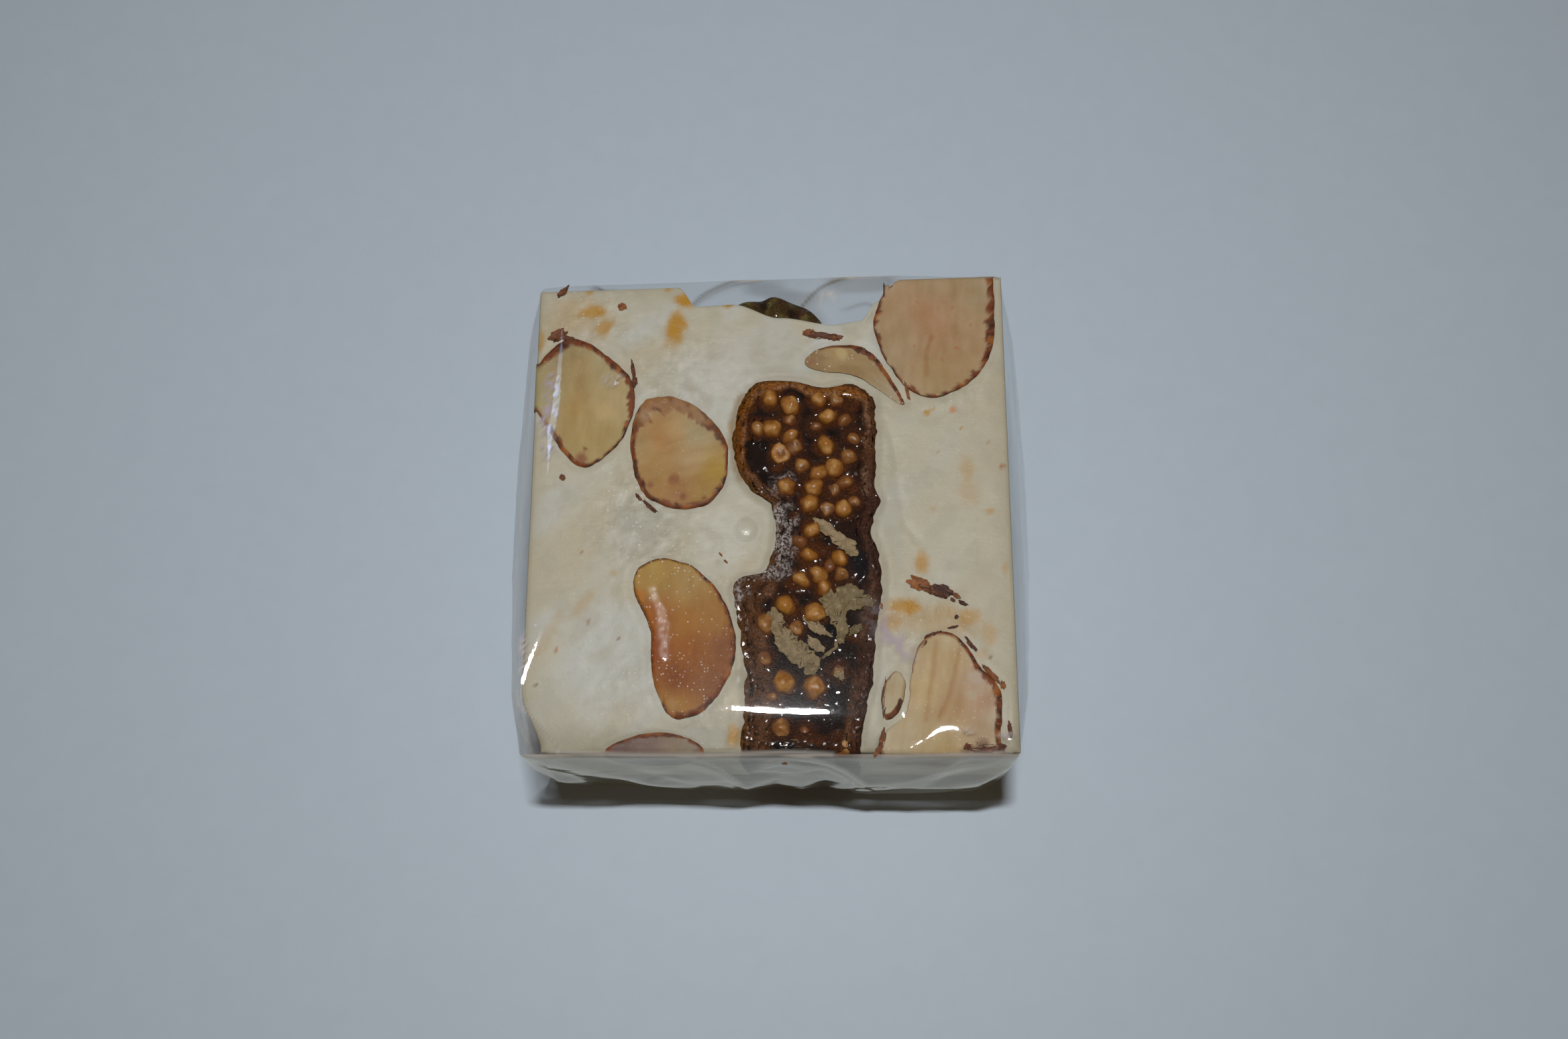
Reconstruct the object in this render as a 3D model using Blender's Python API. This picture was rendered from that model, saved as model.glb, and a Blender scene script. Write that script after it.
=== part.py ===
"""A square piece of soft nougat, cut from a slab, with almonds and dried fig in it, folded in clear film.

Every knife-cut face of the nougat goes through whatever lay there, so the almonds and the fig end flush
with the faces they reach. The film goes round the piece as a sleeve and is folded shut at front and back.
Run with: blender --background --python part.py
"""

import math

import bmesh
import bpy
from mathutils import Matrix, Vector

MM = 0.001

# The nougat, in millimetres. X runs left to right, Y front to back, Z up.
BLOCK_WIDTH = 48.0
LEFT_SIDE = -BLOCK_WIDTH / 2
RIGHT_SIDE = BLOCK_WIDTH / 2
FRONT = -24.1
BACK_AT_LEFT = 23.7
BACK_AT_RIGHT = 25.4
CUT_TOP = 20.0
SIDE_SAG = 0.3  # how far the soft sides swell at mid height
EDGE_ROUND = 0.5
CORNER_CUT = (2.1, 5.4)  # the front left corner is pressed in by this much in X and Y

# The hollow in the top of the back side: how deep it is at the top, along X.
HOLLOW_DEPTHS = [(-9.6, 0.0), (-7.8, 2.2), (-4.0, 2.1), (1.0, 3.8), (6.5, 4.7), (9.2, 4.4), (11.2, 2.2), (13.4, 0.0)]
HOLLOW_FLOOR = 5.0

# What touches keeps this clearance, and the film is this thick.
FIT_GAP = 0.3
FILM_WALL = 0.25
BLOCK_FLOOR = FILM_WALL + FIT_GAP
BLOCK_LEVELS = [BLOCK_FLOOR, BLOCK_FLOOR + EDGE_ROUND, 4.5, 8.5, 12.0, 15.0, 17.5, CUT_TOP - EDGE_ROUND, CUT_TOP]

# The film round the block.
FILM_STANDS_OFF = FIT_GAP + FILM_WALL + SIDE_SAG
FILM_SIDE_SWELL = 1.6
FILM_FRONT_SWELL = 1.2
FILM_BACK_SWELL = 0.15
FILM_RIM_LIFT = 0.3
FILM_EDGE_ROUND = 1.3
FLAP_REACH = 0.62  # how much of the end's height each folded flap covers
SEAM_WIDTH = 0.3
SEAM_X = -4.0

CURVE_STEPS = 3  # on a curve, between two of its given points
FOOT_RINGS = 4

# Each almond as the top face cuts it: its outline, clockwise, and how deep it goes.
ALMONDS = {
    "almond_left": {
        "outline": [
            (-22.3, 17.7), (-19.8, 18.4), (-16.2, 16.0), (-14.0, 12.9), (-14.8, 8.4), (-17.2, 5.4), (-19.9, 4.8),
            (-23.2, 9.4), (-25.2, 13.2),
        ],
        "depth": 6.5,
    },
    "almond_middle": {
        "outline": [
            (-12.9, 11.7), (-10.0, 12.1), (-7.0, 10.5), (-4.4, 6.6), (-5.3, 1.6), (-8.6, 0.2), (-12.6, 1.5),
            (-14.2, 5.9), (-14.0, 9.4),
        ],
        "depth": 7.0,
    },
    "almond_lower": {
        "outline": [
            (-13.1, -6.2), (-10.6, -5.2), (-7.0, -6.6), (-4.2, -10.5), (-3.5, -15.4), (-5.8, -19.6), (-9.2, -21.0),
            (-11.3, -17.6), (-11.8, -12.2), (-13.5, -8.4),
        ],
        "depth": 5.5,
    },
    "almond_back": {
        "outline": [
            (12.8, 27.5), (22.0, 27.5), (23.3, 22.4), (22.8, 17.2), (20.2, 13.5), (15.8, 12.1), (12.5, 15.2),
            (10.7, 20.0), (11.8, 23.8),
        ],
        "depth": 8.0,
    },
    "almond_sliver": {
        "outline": [
            (3.5, 15.9), (5.2, 17.5), (8.4, 17.8), (11.0, 16.3), (13.4, 12.2), (13.5, 11.3), (11.3, 12.9),
            (8.4, 14.6), (5.0, 15.1),
        ],
        "depth": 3.0,
    },
    "almond_front": {
        "outline": [
            (14.6, -14.0), (16.6, -12.5), (18.6, -13.2), (20.8, -16.2), (22.4, -18.2), (22.3, -22.6), (21.5, -26.8),
            (11.0, -26.8), (11.0, -23.0), (13.2, -20.8), (13.8, -17.0),
        ],
        "depth": 8.0,
    },
    "almond_chip": {
        "outline": [(12.3, -16.5), (13.2, -17.6), (12.5, -20.2), (11.1, -21.1), (11.1, -18.4)],
        "depth": 3.5,
    },
    "almond_edge": {
        "outline": [(-16.0, -24.4), (-13.2, -22.9), (-9.6, -22.6), (-6.2, -24.4), (-7.0, -26.8), (-15.2, -26.8)],
        "depth": 7.5,
    },
}

# The fig was pressed flat and stands on edge, so the slice runs through the block from top to bottom.
FIG_OUTLINE = [
    (-2.6, 12.4), (-0.6, 13.7), (2.6, 13.8), (5.0, 13.1), (7.6, 13.5), (10.5, 12.1), (10.8, 8.0), (10.5, 2.8),
    (10.9, 0.8), (10.1, -1.9), (11.1, -6.5), (10.4, -12.4), (10.0, -17.4), (8.8, -22.0), (8.8, -26.8), (-3.2, -26.8),
    (-2.4, -20.0), (-2.8, -13.0), (-3.7, -8.8), (-3.0, -7.1), (-0.6, -6.3), (0.6, -2.2), (0.1, 0.5), (-2.0, 2.2),
    (-3.6, 5.2), (-3.5, 9.8),
]
FIG_LEAN = 0.5  # how far the foot of the slice is moved to the right
FIG_WAVE = 0.25

# The end of a second fig shows in the hollow of the back side.
FIG_END_CENTRE = (-0.2, 21.3, 15.7)
FIG_END_RADII = (5.6, 3.1, 4.0)
FIG_END_TURN = math.radians(-7)

MATERIALS = {
    "nougat": {"colour": (0.80, 0.74, 0.61), "rough": 0.55},
    "almond": {"colour": (0.71, 0.47, 0.25), "rough": 0.5},
    "fig": {"colour": (0.13, 0.055, 0.028), "rough": 0.35},
    "film": {"colour": (0.86, 0.89, 0.92), "rough": 0.08, "alpha": 0.2},
}


def clear_scene():
    for obj in list(bpy.data.objects):
        bpy.data.objects.remove(obj)


def material(name):
    made = bpy.data.materials.get(name)
    if made is None:
        look = MATERIALS[name]
        made = bpy.data.materials.new(name)
        made.use_nodes = True
        shader = made.node_tree.nodes["Principled BSDF"]
        shader.inputs["Base Color"].default_value = (*look["colour"], 1.0)
        shader.inputs["Roughness"].default_value = look["rough"]
        shader.inputs["Metallic"].default_value = 0.0
        shader.inputs["Alpha"].default_value = look.get("alpha", 1.0)
    return made


def object_from(bm, name, look=None):
    """An object with this mesh, given in millimetres. Without a look it is a cutter."""
    bmesh.ops.scale(bm, vec=(MM, MM, MM), verts=bm.verts)
    bmesh.ops.recalc_face_normals(bm, faces=bm.faces)
    if bm.calc_volume(signed=True) < 0:
        bmesh.ops.reverse_faces(bm, faces=bm.faces)
    mesh = bpy.data.meshes.new(name)
    bm.to_mesh(mesh)
    bm.free()
    obj = bpy.data.objects.new(name, mesh)
    bpy.context.scene.collection.objects.link(obj)
    if look is None:
        obj.hide_render = True
        obj.display_type = "WIRE"
    else:
        mesh.materials.append(material(look))
        mesh.shade_smooth()
        mesh.set_sharp_from_angle(angle=math.radians(35))
    return obj


def boolean(obj, other, operation):
    modifier = obj.modifiers.new(operation.title() + "_" + other.name, "BOOLEAN")
    modifier.operation = operation
    modifier.solver = "EXACT"
    modifier.object = other


def smooth_step(value):
    value = min(max(value, 0.0), 1.0)
    return value * value * (3 - 2 * value)


def between(points, x):
    """The value at x on a smooth curve through points, each an (x, value), level outside them."""
    if x <= points[0][0]:
        return points[0][1]
    for (x0, v0), (x1, v1) in zip(points, points[1:]):
        if x <= x1:
            return v0 + (v1 - v0) * smooth_step((x - x0) / (x1 - x0))
    return points[-1][1]


def smooth_loop(points):
    """A closed curve through points, in steps that pass through each of them."""
    loop = []
    for i in range(len(points)):
        before, here, ahead, beyond = (Vector(points[(i + k) % len(points)]) for k in (-1, 0, 1, 2))
        for step in range(CURVE_STEPS):
            t = step / CURVE_STEPS
            loop.append(
                0.5
                * (
                    2 * here
                    + (ahead - before) * t
                    + (2 * before - 5 * here + 4 * ahead - beyond) * t**2
                    + (3 * here - before - 3 * ahead + beyond) * t**3
                )
            )
    return loop


def grown(loop, amount):
    """The clockwise loop moved outwards by amount."""
    moved = []
    for i, point in enumerate(loop):
        along = (loop[(i + 1) % len(loop)] - loop[i - 1]).normalized()
        moved.append(point + Vector((-along.y, along.x)) * amount)
    return moved


def back_side(x):
    """Y of the slanting back side."""
    share = (x - LEFT_SIDE) / BLOCK_WIDTH
    return BACK_AT_LEFT + (BACK_AT_RIGHT - BACK_AT_LEFT) * share


def hollow(x, z):
    """How far the back side is hollowed at this place."""
    fade = smooth_step((z - HOLLOW_FLOOR) / (CUT_TOP - HOLLOW_FLOOR))
    return between(HOLLOW_DEPTHS, x) * fade


def start_face(loop, z):
    bm = bmesh.new()
    face = bm.faces.new([bm.verts.new((point.x, point.y, z)) for point in loop])
    return bm, face


def extrude(bm, face):
    """The face drawn out of the solid: the new face and its points, still in the old place."""
    has_walls = any(len(edge.link_faces) > 1 for edge in face.edges)
    drawn = bmesh.ops.extrude_face_region(bm, geom=[face])["geom"]
    points = [item for item in drawn if isinstance(item, bmesh.types.BMVert)]
    new_face = next(item for item in drawn if isinstance(item, bmesh.types.BMFace))
    if has_walls:
        bm.faces.remove(face)
    return new_face, points


def block_outline():
    """Clockwise plan of the block, with closer points along the hollow."""
    cut_x, cut_y = CORNER_CUT
    hollow_points = 15
    first, last = HOLLOW_DEPTHS[0][0], HOLLOW_DEPTHS[-1][0]
    across = [LEFT_SIDE, -16.5]
    across += [first + (last - first) * i / hollow_points for i in range(hollow_points + 1)]
    across += [19.0, RIGHT_SIDE]
    points = [(x, back_side(x)) for x in across]
    points += [(RIGHT_SIDE, y) for y in (13.0, 0.0, -13.0)]
    points += [(x, FRONT) for x in (RIGHT_SIDE, 12.0, 0.0, -12.0)]
    points += [(LEFT_SIDE + cut_x, FRONT), (LEFT_SIDE + cut_x * 0.3, FRONT + cut_y * 0.5)]
    points += [(LEFT_SIDE, y) for y in (FRONT + cut_y, -6.0, 6.0, 15.0)]
    return [Vector(point) for point in points]


def settle(bm):
    """The straight piece swells at the sides, rounds at the edges and takes the hollow of the back side."""
    for vert in bm.verts:
        x, y, z = vert.co
        level = min(max(z, BLOCK_FLOOR), CUT_TOP)
        height = (level - BLOCK_FLOOR) / (CUT_TOP - BLOCK_FLOOR)
        edge = min(level - BLOCK_FLOOR, CUT_TOP - level) / EDGE_ROUND
        draw_in = EDGE_ROUND * (1 - math.sqrt(1 - max(0.0, 1 - edge) ** 2))
        swell = SIDE_SAG * math.sin(math.pi * height) - draw_in
        share = 1 + swell / (BLOCK_WIDTH / 2)
        if y > back_side(x) - 0.01:
            y -= hollow(x, level)
        vert.co = (x * share, y * share, z)


def column(loop, levels):
    """The loop drawn straight up through the levels."""
    bm, face = start_face(loop, levels[0])
    for below, level in zip(levels, levels[1:]):
        face, points = extrude(bm, face)
        bmesh.ops.translate(bm, vec=(0, 0, level - below), verts=points)
    return bm


def nougat_block():
    bm = column(block_outline(), BLOCK_LEVELS)
    settle(bm)
    return object_from(bm, "nougat", "nougat")


def cut_piece(outline, depth, grow=0.0):
    """A piece as the top face cuts it: its outline there, drawing in like half an egg to the foot."""
    loop = grown(smooth_loop(outline), grow)
    bm, face = start_face(loop, CUT_TOP)
    face, points = extrude(bm, face)
    bmesh.ops.translate(bm, vec=(0, 0, -EDGE_ROUND), verts=points)
    centre = sum(loop, Vector((0, 0))) / len(loop)
    pivot = Matrix.Translation((-centre.x, -centre.y, 0))
    width = 1.0
    for ring in range(1, FOOT_RINGS + 1):
        face, points = extrude(bm, face)
        new_width = math.sqrt(1 - (ring / (FOOT_RINGS + 0.2)) ** 2)
        bmesh.ops.scale(bm, vec=(new_width / width, new_width / width, 1), space=pivot, verts=points)
        bmesh.ops.translate(bm, vec=(0, 0, (EDGE_ROUND - depth - grow) / FOOT_RINGS), verts=points)
        width = new_width
    return bm


def raise_top(bm, by):
    """The cut face moved up, so that a cutter clears the face that it opens."""
    for vert in bm.verts:
        if vert.co.z > CUT_TOP - 0.01:
            vert.co.z += by


def trim_to_sides(bm):
    """What reaches past a side of the straight block is cut off flush with it."""
    slant = math.atan2(BACK_AT_RIGHT - BACK_AT_LEFT, BLOCK_WIDTH)
    planes = [
        ((LEFT_SIDE, 0, 0), (-1, 0, 0)),
        ((0, FRONT, 0), (0, -1, 0)),
        ((0, back_side(0), 0), (-math.sin(slant), math.cos(slant), 0)),
    ]
    for place, outwards in planes:
        geometry = bm.verts[:] + bm.edges[:] + bm.faces[:]
        bmesh.ops.bisect_plane(bm, geom=geometry, plane_co=place, plane_no=outwards, clear_outer=True)
        bmesh.ops.holes_fill(bm, edges=[edge for edge in bm.edges if edge.is_boundary], sides=0)


def almonds(nougat):
    for name, shape in ALMONDS.items():
        bm = cut_piece(shape["outline"], shape["depth"])
        trim_to_sides(bm)
        settle(bm)
        object_from(bm, name, "almond")
        pocket = cut_piece(shape["outline"], shape["depth"], grow=FIT_GAP)
        settle(pocket)
        raise_top(pocket, 1.0)
        boolean(nougat, object_from(pocket, "pocket_" + name), "DIFFERENCE")


def fig_column(levels, grow=0.0):
    """The fig slice up through the levels, leaning and swelling a little on the way."""
    bm = column(grown(smooth_loop(FIG_OUTLINE), grow), levels)
    for vert in bm.verts:
        depth = (CUT_TOP - vert.co.z) / CUT_TOP
        vert.co.x += FIG_LEAN * depth + FIG_WAVE * math.sin(math.tau * depth) * math.cos(vert.co.y / 6)
    return bm


def fig_slice(nougat):
    bm = fig_column(BLOCK_LEVELS)
    trim_to_sides(bm)
    settle(bm)
    object_from(bm, "fig_slice", "fig")
    past_both_faces = [BLOCK_FLOOR - 1, *BLOCK_LEVELS, CUT_TOP + 1]
    slot = fig_column(past_both_faces, grow=FIT_GAP)
    settle(slot)
    boolean(nougat, object_from(slot, "slot_fig"), "DIFFERENCE")


def fig_end(nougat):
    turn = Matrix.Translation(FIG_END_CENTRE) @ Matrix.Rotation(FIG_END_TURN, 4, "Z")
    for name, look, grow in (("fig_end", "fig", 0.0), ("pocket_fig_end", None, FIT_GAP)):
        bm = bmesh.new()
        bmesh.ops.create_uvsphere(bm, u_segments=16, v_segments=8, radius=1.0)
        bmesh.ops.scale(bm, vec=[radius + grow for radius in FIG_END_RADII], verts=bm.verts)
        bmesh.ops.transform(bm, matrix=turn, verts=bm.verts)
        made = object_from(bm, name, look)
        if look is None:
            boolean(nougat, made, "DIFFERENCE")


def film_half_sizes(inset):
    """Half width, front, back at the left, back at the right and top of the film, inset from its outer face."""
    return (
        BLOCK_WIDTH / 2 + FILM_STANDS_OFF - inset,
        FRONT - FILM_STANDS_OFF + inset,
        BACK_AT_LEFT + FILM_STANDS_OFF - inset,
        BACK_AT_RIGHT + FILM_STANDS_OFF - inset,
        CUT_TOP + FIT_GAP + FILM_WALL - inset,
    )


def film_front_swell(across, up):
    """How far the folded front stands out, from -1 to 1 across and 0 to 1 up: most near the foot."""
    return FILM_FRONT_SWELL * (1 - across**2) * math.sin(math.pi * up**0.75)


def film_point(across, along, up, inset):
    """A point of the film from -1 to 1 across, -1 to 1 front to back and 0 to 1 up."""
    half_width, front, back_left, back_right, top = film_half_sizes(inset)
    side_swell = FILM_SIDE_SWELL * (1 - along**2) * math.sin(math.pi * up**0.9)
    x = across * (half_width + side_swell)
    back = back_left + (back_right - back_left) * (across + 1) / 2
    back += FILM_BACK_SWELL * (1 - across**2) * math.sin(math.pi * up)
    front -= film_front_swell(across, up)
    y = front + (back - front) * (along + 1) / 2
    rim = max(abs(across), abs(along)) ** 6
    z = inset + up * (top - inset + FILM_RIM_LIFT * rim * up)
    return Vector((x, y, z))


def film_body(inset):
    """The film's outside, or its inside when inset by the wall."""
    bm = bmesh.new()
    bmesh.ops.create_cube(bm, size=2.0)
    bmesh.ops.subdivide_edges(bm, edges=bm.edges[:], cuts=5, use_grid_fill=True)
    for vert in bm.verts:
        # Rows are closer together near the edges, where the film turns.
        vert.co = [math.copysign(abs(value) ** 0.7, value) for value in vert.co]
    sharp = [edge for edge in bm.edges if edge.calc_face_angle() > math.radians(60)]
    half_width = film_half_sizes(inset)[0]
    bmesh.ops.bevel(
        bm, geom=sharp, offset=(FILM_EDGE_ROUND - inset) / half_width, segments=2, affect="EDGES", profile=0.5
    )
    stretch = half_width / (CUT_TOP / 2)
    for vert in bm.verts:
        across, along, height = vert.co
        # The bevel is as wide in height as it is across, although the film is much lower than it is wide.
        low = 1 - abs(height)
        height = math.copysign(1 - min(1.0, low * (stretch if low < 0.12 else 1.0)), height) if low < 0.12 else height
        vert.co = film_point(across, along, (height + 1) / 2, inset)
    return bm


def folded_flap(name, end, from_top):
    """A flap folded over the end of the sleeve, narrowing from its fold at 45 degrees."""
    columns, rows = 8, 3
    half_width, _, _, _, top = film_half_sizes(0)
    bm = bmesh.new()
    bmesh.ops.create_grid(bm, x_segments=columns, y_segments=rows, size=1.0)
    reach = top * FLAP_REACH
    for vert in bm.verts:
        out = 0.06 + (vert.co.y + 1) / 2 * 0.94
        narrowing = 1 - out * reach / half_width
        up = 1 - out * FLAP_REACH if from_top else out * FLAP_REACH
        vert.co = film_point(vert.co.x * narrowing * 0.94, end, up, FILM_WALL * 0.5)
    depth = FILM_WALL * (1.3 if from_top else 1.7)
    drawn = bmesh.ops.extrude_face_region(bm, geom=bm.faces[:])["geom"]
    points = [item for item in drawn if isinstance(item, bmesh.types.BMVert)]
    bmesh.ops.translate(bm, vec=(0, end * depth, 0), verts=points)
    return object_from(bm, name)


def film_wrap():
    film = object_from(film_body(0), "film_wrap", "film")
    for end, side in ((-1, "front"), (1, "back")):
        for from_top, edge in ((True, "top"), (False, "foot")):
            boolean(film, folded_flap(f"flap_{side}_{edge}", end, from_top), "UNION")
    boolean(film, object_from(film_body(FILM_WALL), "film_inside"), "DIFFERENCE")
    seam = bmesh.new()
    bmesh.ops.create_cube(seam, size=1.0)
    bmesh.ops.scale(seam, vec=(SEAM_WIDTH, BLOCK_WIDTH * 0.8, 4 * FILM_WALL), verts=seam.verts)
    bmesh.ops.translate(seam, vec=(SEAM_X, 0, 0), verts=seam.verts)
    boolean(film, object_from(seam, "seam_slit"), "DIFFERENCE")


def main():
    clear_scene()
    nougat = nougat_block()
    fig_slice(nougat)
    fig_end(nougat)
    almonds(nougat)
    film_wrap()


main()
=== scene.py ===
import math
import random

import bmesh
import bpy
import numpy as np
from mathutils import Matrix, Vector, noise


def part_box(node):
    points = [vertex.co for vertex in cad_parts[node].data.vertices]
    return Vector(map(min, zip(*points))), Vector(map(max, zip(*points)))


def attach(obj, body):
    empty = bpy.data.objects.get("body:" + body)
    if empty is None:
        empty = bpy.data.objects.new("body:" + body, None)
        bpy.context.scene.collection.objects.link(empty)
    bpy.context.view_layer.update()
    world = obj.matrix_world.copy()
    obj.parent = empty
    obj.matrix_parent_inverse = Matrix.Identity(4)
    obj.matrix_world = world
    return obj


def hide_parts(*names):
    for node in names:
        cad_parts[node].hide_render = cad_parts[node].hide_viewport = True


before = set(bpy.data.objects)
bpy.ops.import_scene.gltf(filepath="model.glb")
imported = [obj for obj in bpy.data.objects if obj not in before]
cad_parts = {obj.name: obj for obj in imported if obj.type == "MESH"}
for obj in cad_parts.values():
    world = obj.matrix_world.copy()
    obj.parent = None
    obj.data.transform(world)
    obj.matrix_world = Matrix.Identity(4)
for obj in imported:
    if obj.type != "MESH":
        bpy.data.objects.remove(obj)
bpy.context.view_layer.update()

mm = 0.001  # everything below is in millimetres, and becomes metres when a piece is finished
nougatLow, nougatHigh = (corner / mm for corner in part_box("nougat"))
filmLow, filmHigh = (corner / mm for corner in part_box("film_wrap"))
slab = {"side": 24.0, "front": -24.1, "backLeft": 23.7, "backRight": 25.4, "top": nougatHigh.z, "foot": nougatLow.z,
        "sag": 0.3, "edge": 0.5, "corner": (2.1, 5.4), "hollowFloor": 5.0,
        "hollow": [(-9.6, 0), (-7.8, 2.2), (-4, 2.1), (1, 3.8), (6.5, 4.7), (9.2, 4.4), (11.2, 2.2), (13.4, 0)]}


# ---- shapes and numbers

def smoothStep(value, low=0.0, high=1.0):
    value = np.clip((value - low) / (high - low), 0, 1)
    return value * value * (3 - 2 * value)


def eased(stops, place):  # a smooth value through stops, each (place, value)
    if place <= stops[0][0]:
        return stops[0][1]
    for (start, low), (end, high) in zip(stops, stops[1:]):
        if place <= end:
            return low + (high - low) * float(smoothStep(place, start, end))
    return stops[-1][1]


def curveThrough(points, steps=10, closed=True):
    curve, count = [], len(points)
    for i in range(count if closed else count - 1):
        a, b, c, d = (Vector(points[(i + k) % count] if closed else points[min(max(i + k, 0), count - 1)])
                      for k in (-1, 0, 1, 2))
        for step in range(steps):
            t = step / steps
            curve.append(0.5 * (2 * b + (c - a) * t + (2 * a - 5 * b + 4 * c - d) * t**2
                                + (3 * b - a - 3 * c + d) * t**3))
    if not closed:
        curve.append(Vector(points[-1]))
    return np.array(curve)


def evenly(loop, count):  # the closed loop again, with count points at even steps
    ends = np.vstack([loop, loop[:1]])
    along = np.concatenate([[0], np.cumsum(np.linalg.norm(np.diff(ends, axis=0), axis=1))])
    places = np.linspace(0, along[-1], count, endpoint=False)
    return np.stack([np.interp(places, along, ends[:, k]) for k in (0, 1)], axis=1)


def distanceToPath(places, path):
    start, way = path[:-1], np.diff(path, axis=0)
    offset = places[:, None, :] - start
    share = np.clip((offset * way).sum(2) / np.maximum((way * way).sum(1), 1e-9), 0, 1)
    return np.sqrt(((offset - share[..., None] * way) ** 2).sum(2)).min(1)


def inLoop(places, loop):
    inside = np.zeros(len(places), bool)
    for (ax, ay), (bx, by) in zip(loop, np.roll(loop, -1, axis=0)):
        crosses = (ay > places[:, 1]) != (by > places[:, 1])
        inside ^= crosses & (places[:, 0] < (bx - ax) * (places[:, 1] - ay) / (by - ay + 1e-12) + ax)
    return inside


def edgeDistance(places, loop):  # below zero inside the loop
    distance = distanceToPath(places, np.vstack([loop, loop[:1]]))
    return np.where(inLoop(places, loop), -distance, distance)


def grain(places, size, seed=0):  # soft noise from -1 to 1; size is one number or one for each axis
    scale = np.array(size) * np.ones(3)
    shift = np.array([17.3, 5.1, 9.7]) * (seed + 1)
    return np.array([noise.noise(Vector(place)) for place in places / scale + shift])


def asLit(red, green, blue, light=0.68):  # the surface colour that looks like this under the key light
    channels = np.array([red, green, blue]) / 255
    linear = np.where(channels <= 0.04045, channels / 12.92, ((channels + 0.055) / 1.055) ** 2.4)
    return np.minimum(linear / light, 0.95)


def blend(under, over, share):
    return under + (over - under) * np.clip(share, 0, 1)[:, None]


def washes(places, tones, soft=1.0):  # colours laid down at a few spots, each (x, y, red, green, blue), and run together
    spots = np.array([tone[:2] for tone in tones], float)
    away = ((places[:, None, :2] - spots) ** 2).sum(2) + soft
    share = away ** -1.6
    return (share / share.sum(1, keepdims=True)) @ np.array([asLit(*tone[2:]) for tone in tones])


def towardsEnds(share, pull=0.75):  # rows drawn closer together at both ends
    return share - pull * np.sin(math.tau * share) / math.tau


# ---- finishes

class Wire:  # an output of a node that can be calculated with

    def __init__(self, finish, socket):
        self.finish, self.socket = finish, socket

    def maths(self, operation, first, second):
        return self.finish.node("ShaderNodeMath", {"operation": operation}, {0: first, 1: second})

    def __add__(self, other):
        return self.maths("ADD", self, other)

    def __sub__(self, other):
        return self.maths("SUBTRACT", self, other)

    def __rsub__(self, other):
        return self.maths("SUBTRACT", other, self)

    def __mul__(self, other):
        return self.maths("MULTIPLY", self, other)

    def __pow__(self, other):
        return self.maths("POWER", self, other)

    def above(self, low, high):
        return self.finish.node("ShaderNodeMapRange", {"interpolation_type": "SMOOTHSTEP"},
                                {"Value": self, "From Min": low, "From Max": high})

    __radd__ = __add__
    __rmul__ = __mul__


class Finish:

    def __init__(self, name):
        self.material = bpy.data.materials.new(name)
        self.material.use_nodes = True
        self.tree = self.material.node_tree
        self.tree.nodes.clear()

    def node(self, kind, settings=None, values=None, output=0):
        made = self.tree.nodes.new(kind)
        for key, setting in (settings or {}).items():
            if key == "stops":
                ramp = made.color_ramp
                while len(ramp.elements) < len(setting):
                    ramp.elements.new(0.5)
                for element, (place, colour) in zip(ramp.elements, setting):
                    element.position, element.color = place, (*colour, 1)
            else:
                setattr(made, key, setting)
        for key, value in (values or {}).items():
            if isinstance(value, Wire):
                self.tree.links.new(value.socket, made.inputs[key])
            else:
                made.inputs[key].default_value = value
        return Wire(self, made.outputs[output]) if made.outputs else None

    def attribute(self, name, output="Color"):
        return self.node("ShaderNodeAttribute", {"attribute_name": name}, output=output)

    def place(self, scale=(1, 1, 1), turn=(0, 0, 0)):  # object coordinates in millimetres
        where = self.node("ShaderNodeTexCoord", output="Object")
        return self.node("ShaderNodeMapping", {}, {"Vector": where, "Scale": tuple(1000 * s for s in scale),
                                                   "Rotation": turn})

    def noise(self, size, detail=3.0, stretch=(1, 1, 1), turn=(0, 0, 0), rough=0.55):
        return self.node("ShaderNodeTexNoise", {}, {"Vector": self.place(stretch, turn), "Scale": 1 / size,
                                                    "Detail": detail, "Roughness": rough})

    def mix(self, share, first, second, way="MIX"):
        return self.node("ShaderNodeMix", {"data_type": "RGBA", "blend_type": way},
                         {0: share, 6: first, 7: second}, output=2)

    def bump(self, height, distance, strength=1.0, under=None):
        values = {"Height": height, "Distance": distance * mm, "Strength": strength}
        if under is not None:
            values["Normal"] = under
        return self.node("ShaderNodeBump", {}, values)

    def crystalsAndPaintedGlints(self, size, share):  # small crystals and the glints they throw, painted as light dots: a few cells in a hundred, each a dot
        cells = {"Vector": self.place(), "Scale": 1 / size}
        away = self.node("ShaderNodeTexVoronoi", {}, cells)
        chance = self.node("ShaderNodeTexVoronoi", {}, cells, output="Color")
        return (1 - away.above(0.10, 0.34)) * (chance * 1.0).above(1 - share, 1.08 - share)

    def close(self, shader):
        self.node("ShaderNodeOutputMaterial", {}, {"Surface": shader})
        return self.material


def grey(value):
    return (value, value, value, 1)


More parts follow.
